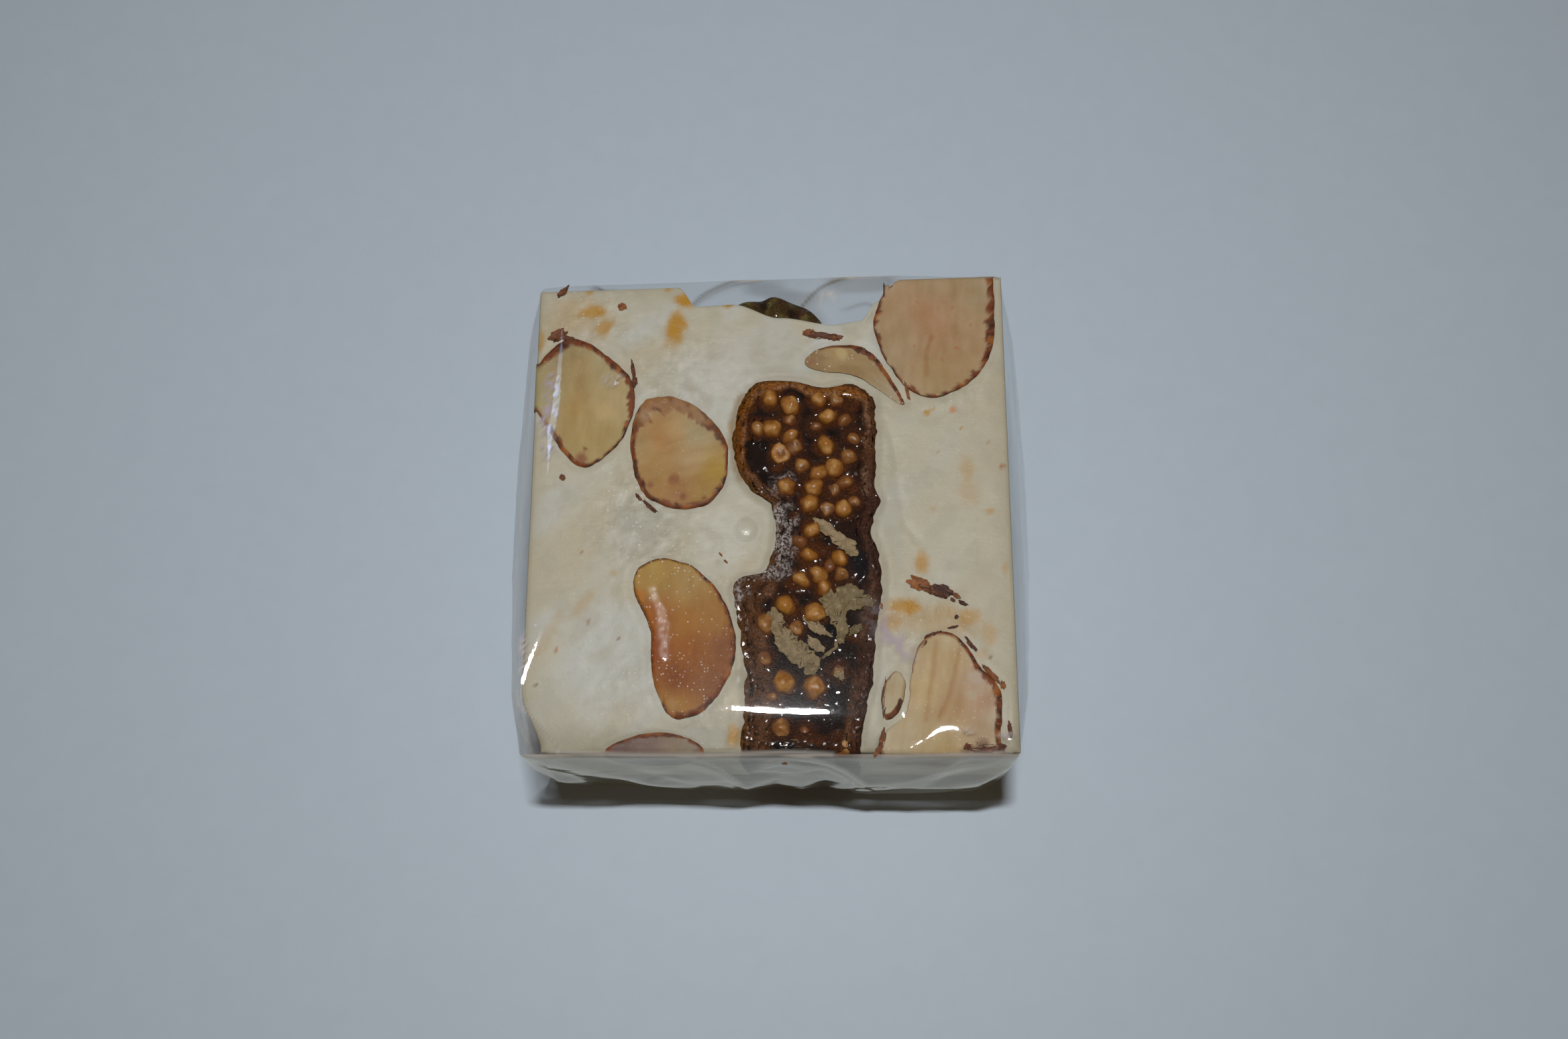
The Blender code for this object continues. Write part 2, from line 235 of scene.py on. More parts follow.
def nougatFinish():
    finish = Finish("creamNougat")
    mottle = finish.noise(2.2, 4).above(0.35, 0.7)
    colour = finish.mix(mottle * 0.10, finish.attribute("paint"), (*asLit(186, 184, 172), 1))
    rough = finish.attribute("rumple", "Fac")
    # pale crystal dots on the nougat, partly real sugar and partly painted glints, more where the top is rumpled
    colour = finish.mix(finish.crystalsAndPaintedGlints(0.4, 0.3) * (0.12 + rough * 0.5), colour, (*asLit(206, 206, 200), 1))
    fine = finish.noise(0.35, 3)
    pull = finish.noise(1.6, 3, stretch=(0.35, 1, 1), turn=(0, 0, 0.6))
    relief = finish.bump(pull, 0.16, 0.5, under=finish.bump(fine * (0.4 + rough), 0.12, 0.5))
    shader = finish.node("ShaderNodeBsdfPrincipled", {}, {
        "Base Color": colour, "Roughness": 0.44 + mottle * 0.12 - finish.attribute("wet", "Fac") * 0.26,
        "Normal": relief, "IOR": 1.45,
        "Subsurface Weight": 0.25, "Subsurface Radius": (1.0, 0.8, 0.55), "Subsurface Scale": 1.2 * mm,
        "Specular IOR Level": 0.35})
    return finish.close(shader)


def almondFinish():
    finish = Finish("cutAlmond")
    skin = finish.attribute("skin", "Fac")
    wet = finish.attribute("wet", "Fac")
    speck = finish.noise(0.5, 3).above(0.3, 0.75)
    colour = finish.mix(speck * 0.12, finish.attribute("paint"), (*asLit(176, 146, 100), 1))
    # pale crystal dots where the almond is frosted: partly real sugar, partly painted glints
    colour = finish.mix(finish.crystalsAndPaintedGlints(0.30, 0.35) * finish.attribute("frost", "Fac"), colour, (*asLit(212, 206, 204), 1))
    fibre = finish.noise(0.5, 3, stretch=(1, 0.25, 0.4))
    wrinkle = finish.noise(0.28, 2)
    relief = finish.bump(wrinkle * skin + fibre * (1 - skin), 0.06, 0.4)
    shader = finish.node("ShaderNodeBsdfPrincipled", {}, {
        "Base Color": colour, "Roughness": 0.56 + speck * 0.1 - wet * 0.34,
        "Normal": relief, "Subsurface Weight": 0.15, "Subsurface Radius": (1.0, 0.6, 0.35),
        "Subsurface Scale": 0.8 * mm, "Specular IOR Level": 0.17})
    return finish.close(shader)


def figFinish():
    finish = Finish("stickyFig")
    lump = finish.noise(0.7, 4)
    fine = finish.noise(0.22, 3)
    # pale dots on the fig: partly sugar crumbs, partly painted glints
    crumbsAndGlints = finish.crystalsAndPaintedGlints(0.26, 0.16) * finish.attribute("dust", "Fac")
    shine = finish.noise(0.45, 2).above(0.56, 0.64)
    dark = finish.mix(fine.above(0.35, 0.65) * 0.6, finish.attribute("paint"), (0.008, 0.004, 0.003, 1))
    colour = finish.mix(crumbsAndGlints, dark, (*asLit(158, 150, 146), 1))
    fuzz = finish.noise(0.26, 3, rough=0.65).above(0.44, 0.58) * finish.attribute("web", "Fac")
    colour = finish.mix(fuzz * 0.85, colour, (*asLit(158, 150, 146), 1))
    relief = finish.bump(lump, 0.22, 0.8, under=finish.bump(fine, 0.09, 0.8))
    shader = finish.node("ShaderNodeBsdfPrincipled", {}, {
        "Base Color": colour, "Roughness": 0.6 + finish.attribute("dry", "Fac") * 0.1, "Coat Weight": shine * 0.55,
        "Coat Roughness": 0.14, "Normal": relief, "Specular IOR Level": 0.04})
    return finish.close(shader)


def seedFinish():
    finish = Finish("figSeed")
    tone = finish.attribute("tone", "Fac")
    patch = finish.noise(0.8, 3).above(0.35, 0.7)
    crown = finish.attribute("crown", "Fac")
    colour = finish.mix(tone, (*asLit(84, 50, 38), 1), (*asLit(142, 94, 32), 1))
    colour = finish.mix(patch * 0.5, colour, (*asLit(118, 64, 20), 1))
    # painted shade on the seeds' low sides and painted highlight on their tops, by height on each seed
    colour = finish.mix((1 - crown) * 0.85, colour, (*asLit(72, 34, 14), 1))
    colour = finish.mix(crown.above(0.75, 1.0) * patch * 0.6, colour, (*asLit(170, 134, 80), 1))
    shader = finish.node("ShaderNodeBsdfPrincipled", {}, {
        "Base Color": colour, "Roughness": 0.30 + patch * 0.2, "Normal": finish.bump(finish.noise(0.3, 2), 0.06, 0.5),
        "Subsurface Weight": 0.2, "Subsurface Radius": (1.0, 0.5, 0.2), "Subsurface Scale": 0.5 * mm,
        "Specular IOR Level": 0.35})
    return finish.close(shader)


def chipFinish(name, low, high, rough):
    finish = Finish(name)
    tone = finish.attribute("tone", "Fac")
    cloud = finish.noise(0.7, 3).above(0.3, 0.75)
    colour = finish.mix(tone, (*low, 1), (*high, 1))
    colour = finish.mix(cloud * 0.6, colour, (*(0.7 * low), 1))
    colour = finish.mix(finish.noise(0.4, 3).above(0.56, 0.7) * 0.5, colour, (*(1.25 * high), 1))
    shader = finish.node("ShaderNodeBsdfPrincipled", {}, {
        "Base Color": colour, "Roughness": rough + cloud * 0.1, "Normal": finish.bump(finish.noise(0.3, 3), 0.14, 0.8),
        "Specular IOR Level": 0.3})
    return finish.close(shader)


def filmFinish():
    finish = Finish("clearFilm")
    facing = finish.node("ShaderNodeLayerWeight", {}, {"Blend": 0.5}, output="Facing")
    layers = finish.attribute("layers", "Fac")
    mirror = 0.045 + (facing ** 3.2) * (0.2 + finish.attribute("folded", "Fac") * 0.75) + layers * 0.12
    wave = finish.bump(finish.noise(2.2, 2), 0.03, 0.3, under=finish.bump(finish.noise(0.22, 2), 0.0012, 0.5))
    sharp = finish.node("ShaderNodeBsdfGlossy", {}, {"Color": grey(1), "Roughness": 0.02, "Normal": wave})
    fine = finish.bump(finish.noise(0.12, 2), 0.02, 0.35, under=wave)
    soft = finish.node("ShaderNodeBsdfGlossy", {}, {"Color": grey(1), "Roughness": 0.12, "Normal": fine})
    bright = finish.node("ShaderNodeMixShader", {}, {0: 0.010, 1: sharp, 2: soft})
    mellow = finish.node("ShaderNodeBsdfGlossy", {}, {"Color": (1, 0.94, 0.82, 1), "Roughness": 0.06, "Normal": wave})
    gloss = finish.node("ShaderNodeMixShader", {}, {0: finish.attribute("folded", "Fac"), 1: bright, 2: mellow})
    plain = finish.node("ShaderNodeBsdfTransparent", {}, {"Color": (0.985, 0.99, 0.995, 1)})
    # painted shade: a dark see-through tint along the fold lines of the ends
    dim = finish.node("ShaderNodeBsdfTransparent", {}, {"Color": (0.22, 0.20, 0.18, 1)})
    clear = finish.node("ShaderNodeMixShader", {}, {0: finish.attribute("crease", "Fac"), 1: plain, 2: dim})
    milk = finish.mix(finish.attribute("sheen", "Fac"), (0.88, 0.83, 0.76, 1), (0.78, 0.66, 0.90, 1))
    thrown = finish.node("ShaderNodeBsdfDiffuse", {}, {"Color": milk})
    passed = finish.node("ShaderNodeBsdfTranslucent", {}, {"Color": milk})
    haze = finish.node("ShaderNodeMixShader", {}, {0: 0.3, 1: thrown, 2: passed})
    body = finish.node("ShaderNodeMixShader", {}, {0: layers, 1: clear, 2: haze})
    return finish.close(finish.node("ShaderNodeMixShader", {}, {0: mirror, 1: body, 2: gloss}))


finishes = {"nougat": nougatFinish(), "almond": almondFinish(), "fig": figFinish(), "seed": seedFinish(),
            "husk": chipFinish("paleHusk", asLit(96, 82, 50), asLit(142, 122, 92), 0.5),
            "skin": chipFinish("almondSkin", asLit(58, 30, 24), asLit(140, 86, 44), 0.5),
            "film": filmFinish()}


def finishPiece(bm, name, finish, nodes=(), attributes=None, flip=True):
    bmesh.ops.scale(bm, vec=(mm, mm, mm), verts=bm.verts)
    if flip:
        bmesh.ops.recalc_face_normals(bm, faces=bm.faces)
        if bm.calc_volume(signed=True) < 0:
            bmesh.ops.reverse_faces(bm, faces=bm.faces)
    mesh = bpy.data.meshes.new(name)
    bm.to_mesh(mesh)
    bm.free()
    for key, values in (attributes or {}).items():
        isColour = values.ndim == 2
        layer = mesh.attributes.new(key, "FLOAT_COLOR" if isColour else "FLOAT", "POINT")
        if isColour:
            values = np.hstack([values, np.ones((len(values), 1))])
        layer.data.foreach_set("color" if isColour else "value", values.ravel().astype(np.float32))
    mesh.materials.append(finishes[finish])
    mesh.shade_smooth()
    piece = bpy.data.objects.new(name, mesh)
    bpy.context.scene.collection.objects.link(piece)
    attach(piece, "root")
    if nodes:
        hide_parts(*nodes)
    return piece


def placesOf(bm):
    return np.array([vert.co[:] for vert in bm.verts])


def moveTo(bm, places):
    for vert, place in zip(bm.verts, places):
        vert.co = place


def backAt(x):
    return slab["backLeft"] + (slab["backRight"] - slab["backLeft"]) * (x / slab["side"] + 1) / 2


def settle(places):  # what is cut straight swells at the sides, rounds at the edges and takes the back hollow
    settled = []
    for x, y, z in places:
        level = min(max(z, slab["foot"]), slab["top"])
        up = (level - slab["foot"]) / (slab["top"] - slab["foot"])
        nearEdge = max(0.0, 1 - min(level - slab["foot"], slab["top"] - level) / slab["edge"])
        swell = slab["sag"] * math.sin(math.pi * up) - slab["edge"] * (1 - math.sqrt(1 - nearEdge**2))
        share = 1 + swell / slab["side"]
        if y > backAt(x) - 0.01:
            fade = float(smoothStep(level, slab["hollowFloor"], slab["top"]))
            y -= eased(slab["hollow"], x) * fade
        settled.append((x * share, y * share, z))
    return np.array(settled)


def boxOfFaces(across, along, up):  # a block from -1 to 1 across and along and 0 to 1 up, in even faces
    bm = bmesh.new()
    bmesh.ops.create_grid(bm, x_segments=across, y_segments=along, size=1)
    drawn = bmesh.ops.extrude_face_region(bm, geom=bm.faces[:])["geom"]
    bmesh.ops.translate(bm, vec=(0, 0, 1), verts=[item for item in drawn if isinstance(item, bmesh.types.BMVert)])
    upright = [edge for edge in bm.edges if abs(edge.verts[0].co.z - edge.verts[1].co.z) > 0.5]
    bmesh.ops.subdivide_edges(bm, edges=upright, cuts=up - 1, use_grid_fill=True)
    return bm


# ---- the almonds

almonds = {
    "almondLeft": {
        "node": "almond_left", "tint": (0.96, 1.17, 1.65), "depth": 6.5, "centre": (-19.3, 11.7), "grain": 85, "wet": 0.1, "frost": 0.1,
        "outline": [(-22.3, 17.7), (-19.8, 18.4), (-16.2, 16.0), (-14.0, 12.9), (-14.8, 8.4), (-17.2, 5.4),
                    (-19.9, 4.8), (-23.2, 9.4), (-25.2, 13.2)],
        "skin": [(-180, 0.2), (-150, 0.1), (-140, 0.3), (-60, 0.4), (-50, 0.3), (-30, 0.45), (-10, 0.7), (40, 0.75), (80, 0.5), (110, 0.6),
                 (125, 0.4), (140, 0.1), (160, 0.3), (180, 0.3)],
        "tones": [(-19, 15, 146, 112, 62), (-20, 11, 150, 112, 58), (-16.6, 11.5, 156, 126, 76),
                  (-18, 7, 150, 116, 62), (-22.4, 12, 146, 126, 78), (-21, 16.5, 134, 106, 60), (-17.6, 15.4, 150, 126, 80)],
        "spots": [(-16.9, 10.4, 1.2, (168, 144, 102)), (-21.6, 18.2, 1.5, (74, 38, 28)), (-18.7, 6.4, 0.3, (112, 66, 38)),
                  (-19.0, 5.4, 0.8, (118, 70, 50))],
    },
    "almondMiddle": {
        "node": "almond_middle", "tint": (0.96, 1.04, 1.48), "depth": 7.0, "centre": (-9.4, 6.3), "grain": 15, "wet": 0.2, "frost": 0.15,
        "outline": [(-12.9, 11.7), (-10.0, 12.1), (-7.0, 10.5), (-4.4, 6.6), (-5.3, 1.6), (-8.6, 0.2),
                    (-12.6, 1.5), (-14.2, 5.9), (-14.0, 9.4)],
        "skin": [(-180, 0.3), (-90, 0.45), (-60, 0.4), (0, 0.35), (18, 0.8), (35, 0.8), (60, 1.3), (85, 1.4),
                 (115, 1.8), (135, 1.3), (155, 0.4), (180, 0.3)],
        "tones": [(-10, 8, 154, 120, 66), (-7.6, 8, 146, 128, 82), (-8, 5, 156, 126, 76), (-11.5, 4, 148, 114, 56),
                  (-5.8, 4, 148, 114, 34), (-9, 2, 134, 88, 42), (-12.8, 7, 146, 118, 66), (-6.6, 2.4, 142, 106, 44),
                  (-11.2, 7.4, 152, 104, 48), (-11.6, 2.4, 142, 100, 46)],
        "spots": [(-9.7, 3.2, 0.75, (122, 74, 44)), (-8.8, 1.4, 0.5, (112, 64, 42)), (-12.7, 10.0, 0.8, (168, 152, 120)),
                  (-11.6, 10.9, 0.5, (160, 140, 108)), (-6.6, 1.2, 0.4, (108, 60, 40)), (-12.0, 2.6, 0.5, (120, 74, 48))],
    },
    "almondLower": {
        "node": "almond_lower", "tint": (0.95, 0.95, 0.77), "depth": 5.5, "centre": (-8.0, -12.9), "grain": 80, "dish": (0.0112, 0.0025, 0.03), "wet": 0.05, "frost": 0.55,
        "gloss": [([(-11.5, -8.4), (-10.8, -10.0), (-10.4, -12.0), (-10.3, -14.6)], 0.8, 0.8)],
        "outline": [(-13.1, -6.2), (-10.6, -5.2), (-7.0, -6.6), (-4.2, -10.5), (-3.5, -15.4), (-5.8, -19.6),
                    (-9.2, -21.0), (-11.3, -17.6), (-11.8, -12.2), (-13.5, -8.4)],
        "skin": [(-180, 0), (-112, 0), (-98, 0.35), (-60, 0.4), (0, 0.3), (60, 0.4), (80, 0.3), (90, 0.12),
                 (110, 0.14), (128, 0.12), (136, 0), (180, 0)],
        "tones": [(-11.3, -7, 144, 114, 62), (-8, -8, 148, 118, 76), (-6, -11, 142, 102, 56), (-8, -14, 134, 76, 24),
                  (-11.8, -11.0, 138, 76, 18), (-11.4, -14, 124, 56, 12), (-9, -17, 118, 60, 20), (-8, -11.6, 146, 98, 42),
                  (-6, -17, 116, 70, 44), (-9.2, -19.6, 144, 100, 48), (-4.8, -14, 116, 70, 48), (-6.4, -14.6, 130, 80, 40)],
        "spots": [(-12.9, -8.8, 0.9, (150, 92, 24)), (-9.4, -19.4, 0.8, (150, 112, 66))],
    },
    "almondBack": {
        "node": "almond_back", "tint": (0.91, 0.95, 1.17), "depth": 8.0, "centre": (17.1, 19.8), "grain": 88, "wet": 0.0, "frost": 0.05,
        "outline": [(12.8, 27.5), (22.0, 27.5), (23.3, 22.4), (22.8, 17.2), (20.2, 13.5), (15.8, 12.1),
                    (12.5, 15.2), (10.7, 20.0), (11.8, 23.8)],
        "skin": [(-180, 0.38), (-90, 0.34), (0, 0.42), (180, 0.38)], "scallop": 0.7,
        "tones": [(17, 20, 152, 116, 78), (14, 20, 154, 128, 90), (20.5, 20, 152, 124, 84), (17, 14.5, 150, 122, 78),
                  (13, 17.5, 150, 126, 88), (22, 22.5, 146, 124, 86), (17, 25, 150, 126, 88), (15.6, 20.6, 154, 114, 76)],
        "spots": [(19.1, 17.3, 0.25, (150, 96, 60)), (20.6, 19.8, 0.22, (148, 100, 64)), (17.6, 16.0, 0.22, (150, 96, 62)),
                  (14.8, 17.6, 0.2, (148, 98, 66)), (18.7, 21.7, 0.2, (150, 100, 66)), (15.2, 22.3, 0.2, (150, 104, 72))],
        "creases": [[(16.6, 18.6), (16.0, 17.0), (15.9, 14.4)]],
    },
    "almondSliver": {
        "node": "almond_sliver", "tint": (0.94, 0.81, 0.76), "depth": 3.0, "centre": (9.0, 16.1), "grain": -25, "wet": 0.2, "frost": 0.5,
        "outline": [(3.5, 15.9), (5.2, 17.5), (8.4, 17.8), (11.0, 16.3), (13.4, 12.2), (13.5, 11.3), (11.3, 12.9),
                    (8.4, 14.6), (5.0, 15.1)],
        "skin": [(-180, 0), (-50, 0), (-38, 0.5), (30, 0.42), (100, 0.4), (120, 0.2), (150, 0.1), (175, 0), (180, 0)],
        "tones": [(4.6, 16.2, 128, 108, 76), (6.8, 16.8, 150, 134, 96), (9, 16.4, 140, 126, 90), (8, 15, 126, 110, 74),
                  (11, 14.4, 140, 128, 96), (12.8, 12.4, 150, 142, 118)],
        "spots": [(7.3, 16.7, 0.9, (164, 146, 104)), (4.2, 15.8, 0.6, (124, 92, 62))],
    },
    "almondFront": {
        "node": "almond_front", "tint": (1.1, 1.3, 1.75), "depth": 8.0, "centre": (17.2, -19.6), "grain": 84, "wet": 0.15, "frost": 0.35,
        "outline": [(14.6, -14.0), (16.6, -12.5), (18.6, -13.2), (20.8, -16.2), (22.4, -18.2), (22.3, -22.6),
                    (21.5, -26.8), (11.0, -26.8), (11.0, -23.0), (13.2, -20.8), (13.8, -17.0)],
        "skin": [(-180, 0.1), (-40, 0.3), (-10, 0.35), (10, 0.5), (35, 0.55), (75, 0.35), (100, 0.35),
                 (125, 0.35), (150, 0.1), (180, 0.1)],
        "tones": [(17, -15, 154, 124, 80), (15, -18, 156, 126, 80), (20.4, -17.6, 152, 122, 90), (18, -20, 148, 112, 70),
                  (14, -22.4, 152, 126, 86), (20.4, -22, 146, 116, 80), (20.8, -19.6, 148, 108, 74),
                  (16.6, -22.8, 148, 120, 74), (21.6, -20.6, 154, 134, 100)],
        "spots": [(19.9, -16.9, 0.9, (166, 150, 134)), (19.4, -18.6, 0.6, (164, 148, 126)), (20.3, -23.7, 1.2, (96, 72, 54)),
                  (18.7, -24.0, 0.7, (104, 80, 60)), (13.6, -23.6, 0.9, (164, 148, 116))],
        "creases": [[(18.6, -13.6), (18.0, -16.2), (17.2, -19.0), (16.4, -20.6)], [(16.2, -13.4), (15.6, -17.4), (15.0, -21)]],
    },
    "almondChip": {
        "node": "almond_chip", "tint": (1.05, 1.2, 1.5), "depth": 3.5, "centre": (12.2, -18.8), "grain": 80, "wet": 0.1, "frost": 0.2,
        "outline": [(12.3, -16.5), (13.2, -17.6), (12.5, -20.2), (11.1, -21.1), (11.1, -18.4)],
        "skin": [(-180, 0.3), (-60, 0.2), (-30, 0), (60, 0), (110, 0.25), (180, 0.3)],
        "tones": [(12.3, -17.6, 150, 126, 88), (12, -20, 156, 136, 100)],
    },
    "almondEdge": {
        "node": "almond_edge", "tint": (0.98, 0.98, 1.05), "depth": 7.5, "centre": (-11.1, -24.7), "grain": 0, "wet": 0.1, "frost": 0.1,
        "outline": [(-16.0, -24.4), (-13.2, -22.9), (-9.6, -22.6), (-6.2, -24.4), (-7.0, -26.8), (-15.2, -26.8)],
        "skin": [(-180, 0.4), (0, 0.4), (60, 0.5), (120, 0.5), (180, 0.4)],
        "tones": [(-14, -24, 96, 76, 72), (-11.6, -23.4, 108, 92, 84), (-8.6, -23.8, 118, 104, 84), (-10, -26, 132, 112, 88)],
    },
}
cutSides = [((-slab["side"], 0, 0), (-1, 0, 0)), ((0, slab["front"], 0), (0, -1, 0)),
            ((0, backAt(0), 0), (backAt(0) - backAt(1), 1, 0))]
rimDrops = [0.1, 0.25, 0.5]  # rows of the wall just under the cut


def almondShell(spokes, rings, walls):  # a cap in even rings with a wall of rows under it
    bm = bmesh.new()
    bmesh.ops.create_circle(bm, cap_ends=True, segments=spokes, radius=1)
    bm.faces.ensure_lookup_table()
    cap = bm.faces[0]
    for ring in range(rings):
        bmesh.ops.inset_individual(bm, faces=[cap], thickness=0.97 / rings)
    bmesh.ops.poke(bm, faces=[cap])
    rim = [edge for edge in bm.edges if edge.is_boundary]
    for wall in range(walls):
        drawn = bmesh.ops.extrude_edge_only(bm, edges=rim)["geom"]
        rim = [item for item in drawn if isinstance(item, bmesh.types.BMEdge)]
        bmesh.ops.translate(bm, vec=(0, 0, -1), verts=[item for item in drawn if isinstance(item, bmesh.types.BMVert)])
    bmesh.ops.edgeloop_fill(bm, edges=rim)
    return bm


def almondPiece(name, shape):
    spokes, walls = 180, 10
    bm = almondShell(spokes, 24, walls)
    skinLayer = bm.verts.layers.float.new("skin")
    cutLayer = bm.verts.layers.float.new("cut")
    seed = len(name) + len(shape["outline"])
    centre = np.array(shape["centre"])
    loop = evenly(curveThrough(shape["outline"]), spokes)
    flat = np.column_stack([loop, 0 * loop[:, 0]])
    rims = loop - centre
    reach = np.linalg.norm(rims, axis=1)
    bite = 0.16 * grain(flat, 1.6, seed) + 0.07 * grain(flat, 0.6, seed + 1)
    rims *= (1 + bite / reach)[:, None]
    wide = np.interp(np.degrees(np.arctan2(rims[:, 1], rims[:, 0])), *zip(*shape["skin"]))
    ragged = grain(flat, 0.9, seed + 2) + 0.6 * grain(flat, 0.45, seed + 3)
    for vert in bm.verts:
        x, y, z = vert.co
        out = math.hypot(x, y)
        spoke = round(math.atan2(y, x) / math.tau * spokes) % spokes
        if z > -0.5:
            inward = (1 - out) * reach[spoke]
            width = wide[spoke] * (1 + (0.55 + shape.get("scallop", 0)) * ragged[spoke])
            skin = float(smoothStep(width - inward, -0.12, 0.08)) if wide[spoke] > 0.05 else 0.0
            dx, dy = rims[spoke] * out
            bendX, bendY, tilt = shape.get("dish", (0, 0, 0))
            lift = 0.04 * skin + 0.04 + bendX * dx**2 + bendY * dy**2 + tilt * dy - 0.12 * float(smoothStep(out, 0.95, 1.0))
            vert.co = (*(centre + rims[spoke] * out), slab["top"] + lift)
        else:
            row = round(-z) - 1
            share = max(0.0, (row - 2) / (walls - 3))
            narrow = math.sqrt(1 - min(share, 0.995) ** 2)
            drop = rimDrops[row] if row < 3 else rimDrops[2] + (shape["depth"] - rimDrops[2]) * share
            vert.co = (*(centre + rims[spoke] * narrow), slab["top"] - drop)
            skin = 1.0
        vert[skinLayer] = skin
    for point, outwards in cutSides:
        geometry = bm.verts[:] + bm.edges[:] + bm.faces[:]
        bmesh.ops.bisect_plane(bm, geom=geometry, plane_co=point, plane_no=outwards, clear_outer=True)
        rim = [edge for edge in bm.edges if edge.is_boundary]
        if rim:
            for vert in {vert for edge in rim for vert in edge.verts}:
                vert[cutLayer] = 1.0
            faces = bmesh.ops.holes_fill(bm, edges=rim, sides=0)["faces"]
            sideways = Vector((outwards[1], -outwards[0], 0)).normalized()
            middle = Vector((*centre, slab["top"]))
            skinned = np.array([vert.co[:] for face in faces for vert in face.verts if vert[skinLayer] > 0.5])
            whole = set(bm.verts)
            slices = [(middle + sideways * step * 0.5, sideways) for step in range(-16, 17)]
            depths = [0.04, 0.10, 0.18, 0.30] + [step * 0.5 for step in range(1, 16)]
            slices += [(middle - Vector((0, 0, depth)), Vector((0, 0, 1))) for depth in depths]
            for spot, across in slices:
                geometry = faces + list({part for face in faces for part in face.verts[:] + face.edges[:]})
                made = bmesh.ops.bisect_plane(bm, geom=geometry, plane_co=spot, plane_no=across)["geom"]
                faces = [item for item in made if isinstance(item, bmesh.types.BMFace)]
            for vert in {vert for face in faces for vert in face.verts} - whole:
                away = np.linalg.norm(skinned - np.array(vert.co), axis=1).min() if len(skinned) else 9.0
                vert[skinLayer], vert[cutLayer] = float(smoothStep(-away, -0.45, -0.1)), 1.0
    skin = np.array([vert[skinLayer] for vert in bm.verts])
    cut = np.array([vert[cutLayer] for vert in bm.verts])
    straight = placesOf(bm)
    places = settle(straight)
    top = straight[:, 2] > slab["top"] - 0.095
    places[:, 2] += np.where(top, 0.05 * grain(places, 2.4, seed) + 0.03 * grain(places, 0.8, seed), 0)
    places[:, 0] -= 0.1 * cut * (straight[:, 0] < 0.01 - slab["side"])
    places[:, 1] -= 0.14 * cut * (straight[:, 1] < 0.01 + slab["front"])
    places[:, 1] += 0.1 * cut * (straight[:, 1] > backAt(places[:, 0]) - 0.1)
    for crease in shape.get("creases", ()):
        places[:, 2] -= np.where(top, 0.06 * np.exp(-(distanceToPath(places[:, :2], np.array(crease)) / 0.2) ** 2), 0)
    moveTo(bm, places)
    turn = math.radians(shape["grain"])
    along = places[:, 0] * math.cos(turn) + places[:, 1] * math.sin(turn)
    across = -places[:, 0] * math.sin(turn) + places[:, 1] * math.cos(turn)
    lined = np.column_stack([along / 4, across, places[:, 2]])
    colour = washes(places, shape["tones"]) * 1.06 * np.array(shape["tint"])
    streak = 0.12 * grain(lined, 0.7, seed + 1) + 0.14 * grain(places, 1.8, seed) + 0.07 * grain(lined, 0.35, seed + 2)
    colour *= 1 + streak[:, None] * np.array([0.7, 1.0, 1.5])
    out = np.linalg.norm(places[:, :2] - centre, axis=1) / reach.mean()
    colour *= 1 + (0.06 * smoothStep(out, 0.7, 0.95))[:, None] * np.array([0.2, 1.0, 2.2])
    # painted shade: the flesh darkened along each crease groove
    for crease in shape.get("creases", ()):
        near = distanceToPath(places[:, :2], np.array(crease)) + 0.15 * grain(places, 0.8, 5)
        colour = blend(colour, colour * np.array([0.88, 0.76, 0.66]), 1 - smoothStep(near, 0.0, 0.45))
    for x, y, radius, tone in shape.get("spots", ()):
        near = np.hypot(places[:, 0] - x, places[:, 1] - y) + 0.25 * radius * grain(places, 0.6, 8)
        colour = blend(colour, asLit(*tone), (1 - smoothStep(near, radius * 0.4, radius)) * 0.85)
    skinTone = blend(np.tile(asLit(104, 50, 26), (len(places), 1)), asLit(62, 28, 20),
                     smoothStep(grain(places, 0.8, 3), -0.3, 0.3))
    skinTone = blend(skinTone, asLit(134, 80, 36), smoothStep(grain(places, 1.3, 4), 0.15, 0.5))
    bandWidth = np.interp(np.degrees(np.arctan2(places[:, 1] - centre[1], places[:, 0] - centre[0])), *zip(*shape["skin"]))
    broad = smoothStep(bandWidth, 0.7, 1.2) * smoothStep(grain(places, 0.9, 6), -0.6, 0.1)
    colour = blend(colour, blend(skinTone, asLit(122, 76, 50), broad * 0.9), skin * (1 - 0.4 * broad))
    wet = np.full(len(places), shape["wet"])
    for path, width, strength in shape.get("gloss", ()):
        near = distanceToPath(places[:, :2], np.array(path)) + 0.35 * grain(places, 0.8, 9)
        wet += strength * (1 - smoothStep(near, width * 0.3, width))
    return finishPiece(bm, name, "almond", (shape["node"],), {
        "paint": np.clip(colour, 0.001, 0.9), "skin": skin, "wet": np.clip(wet, 0, 1),
        "frost": np.clip(shape["frost"] * (1 + 1.2 * grain(places, 2.5, 7)), 0, 1)})


for name, shape in almonds.items():
    almondPiece(name, shape)
print("almonds made")


# ---- the fig

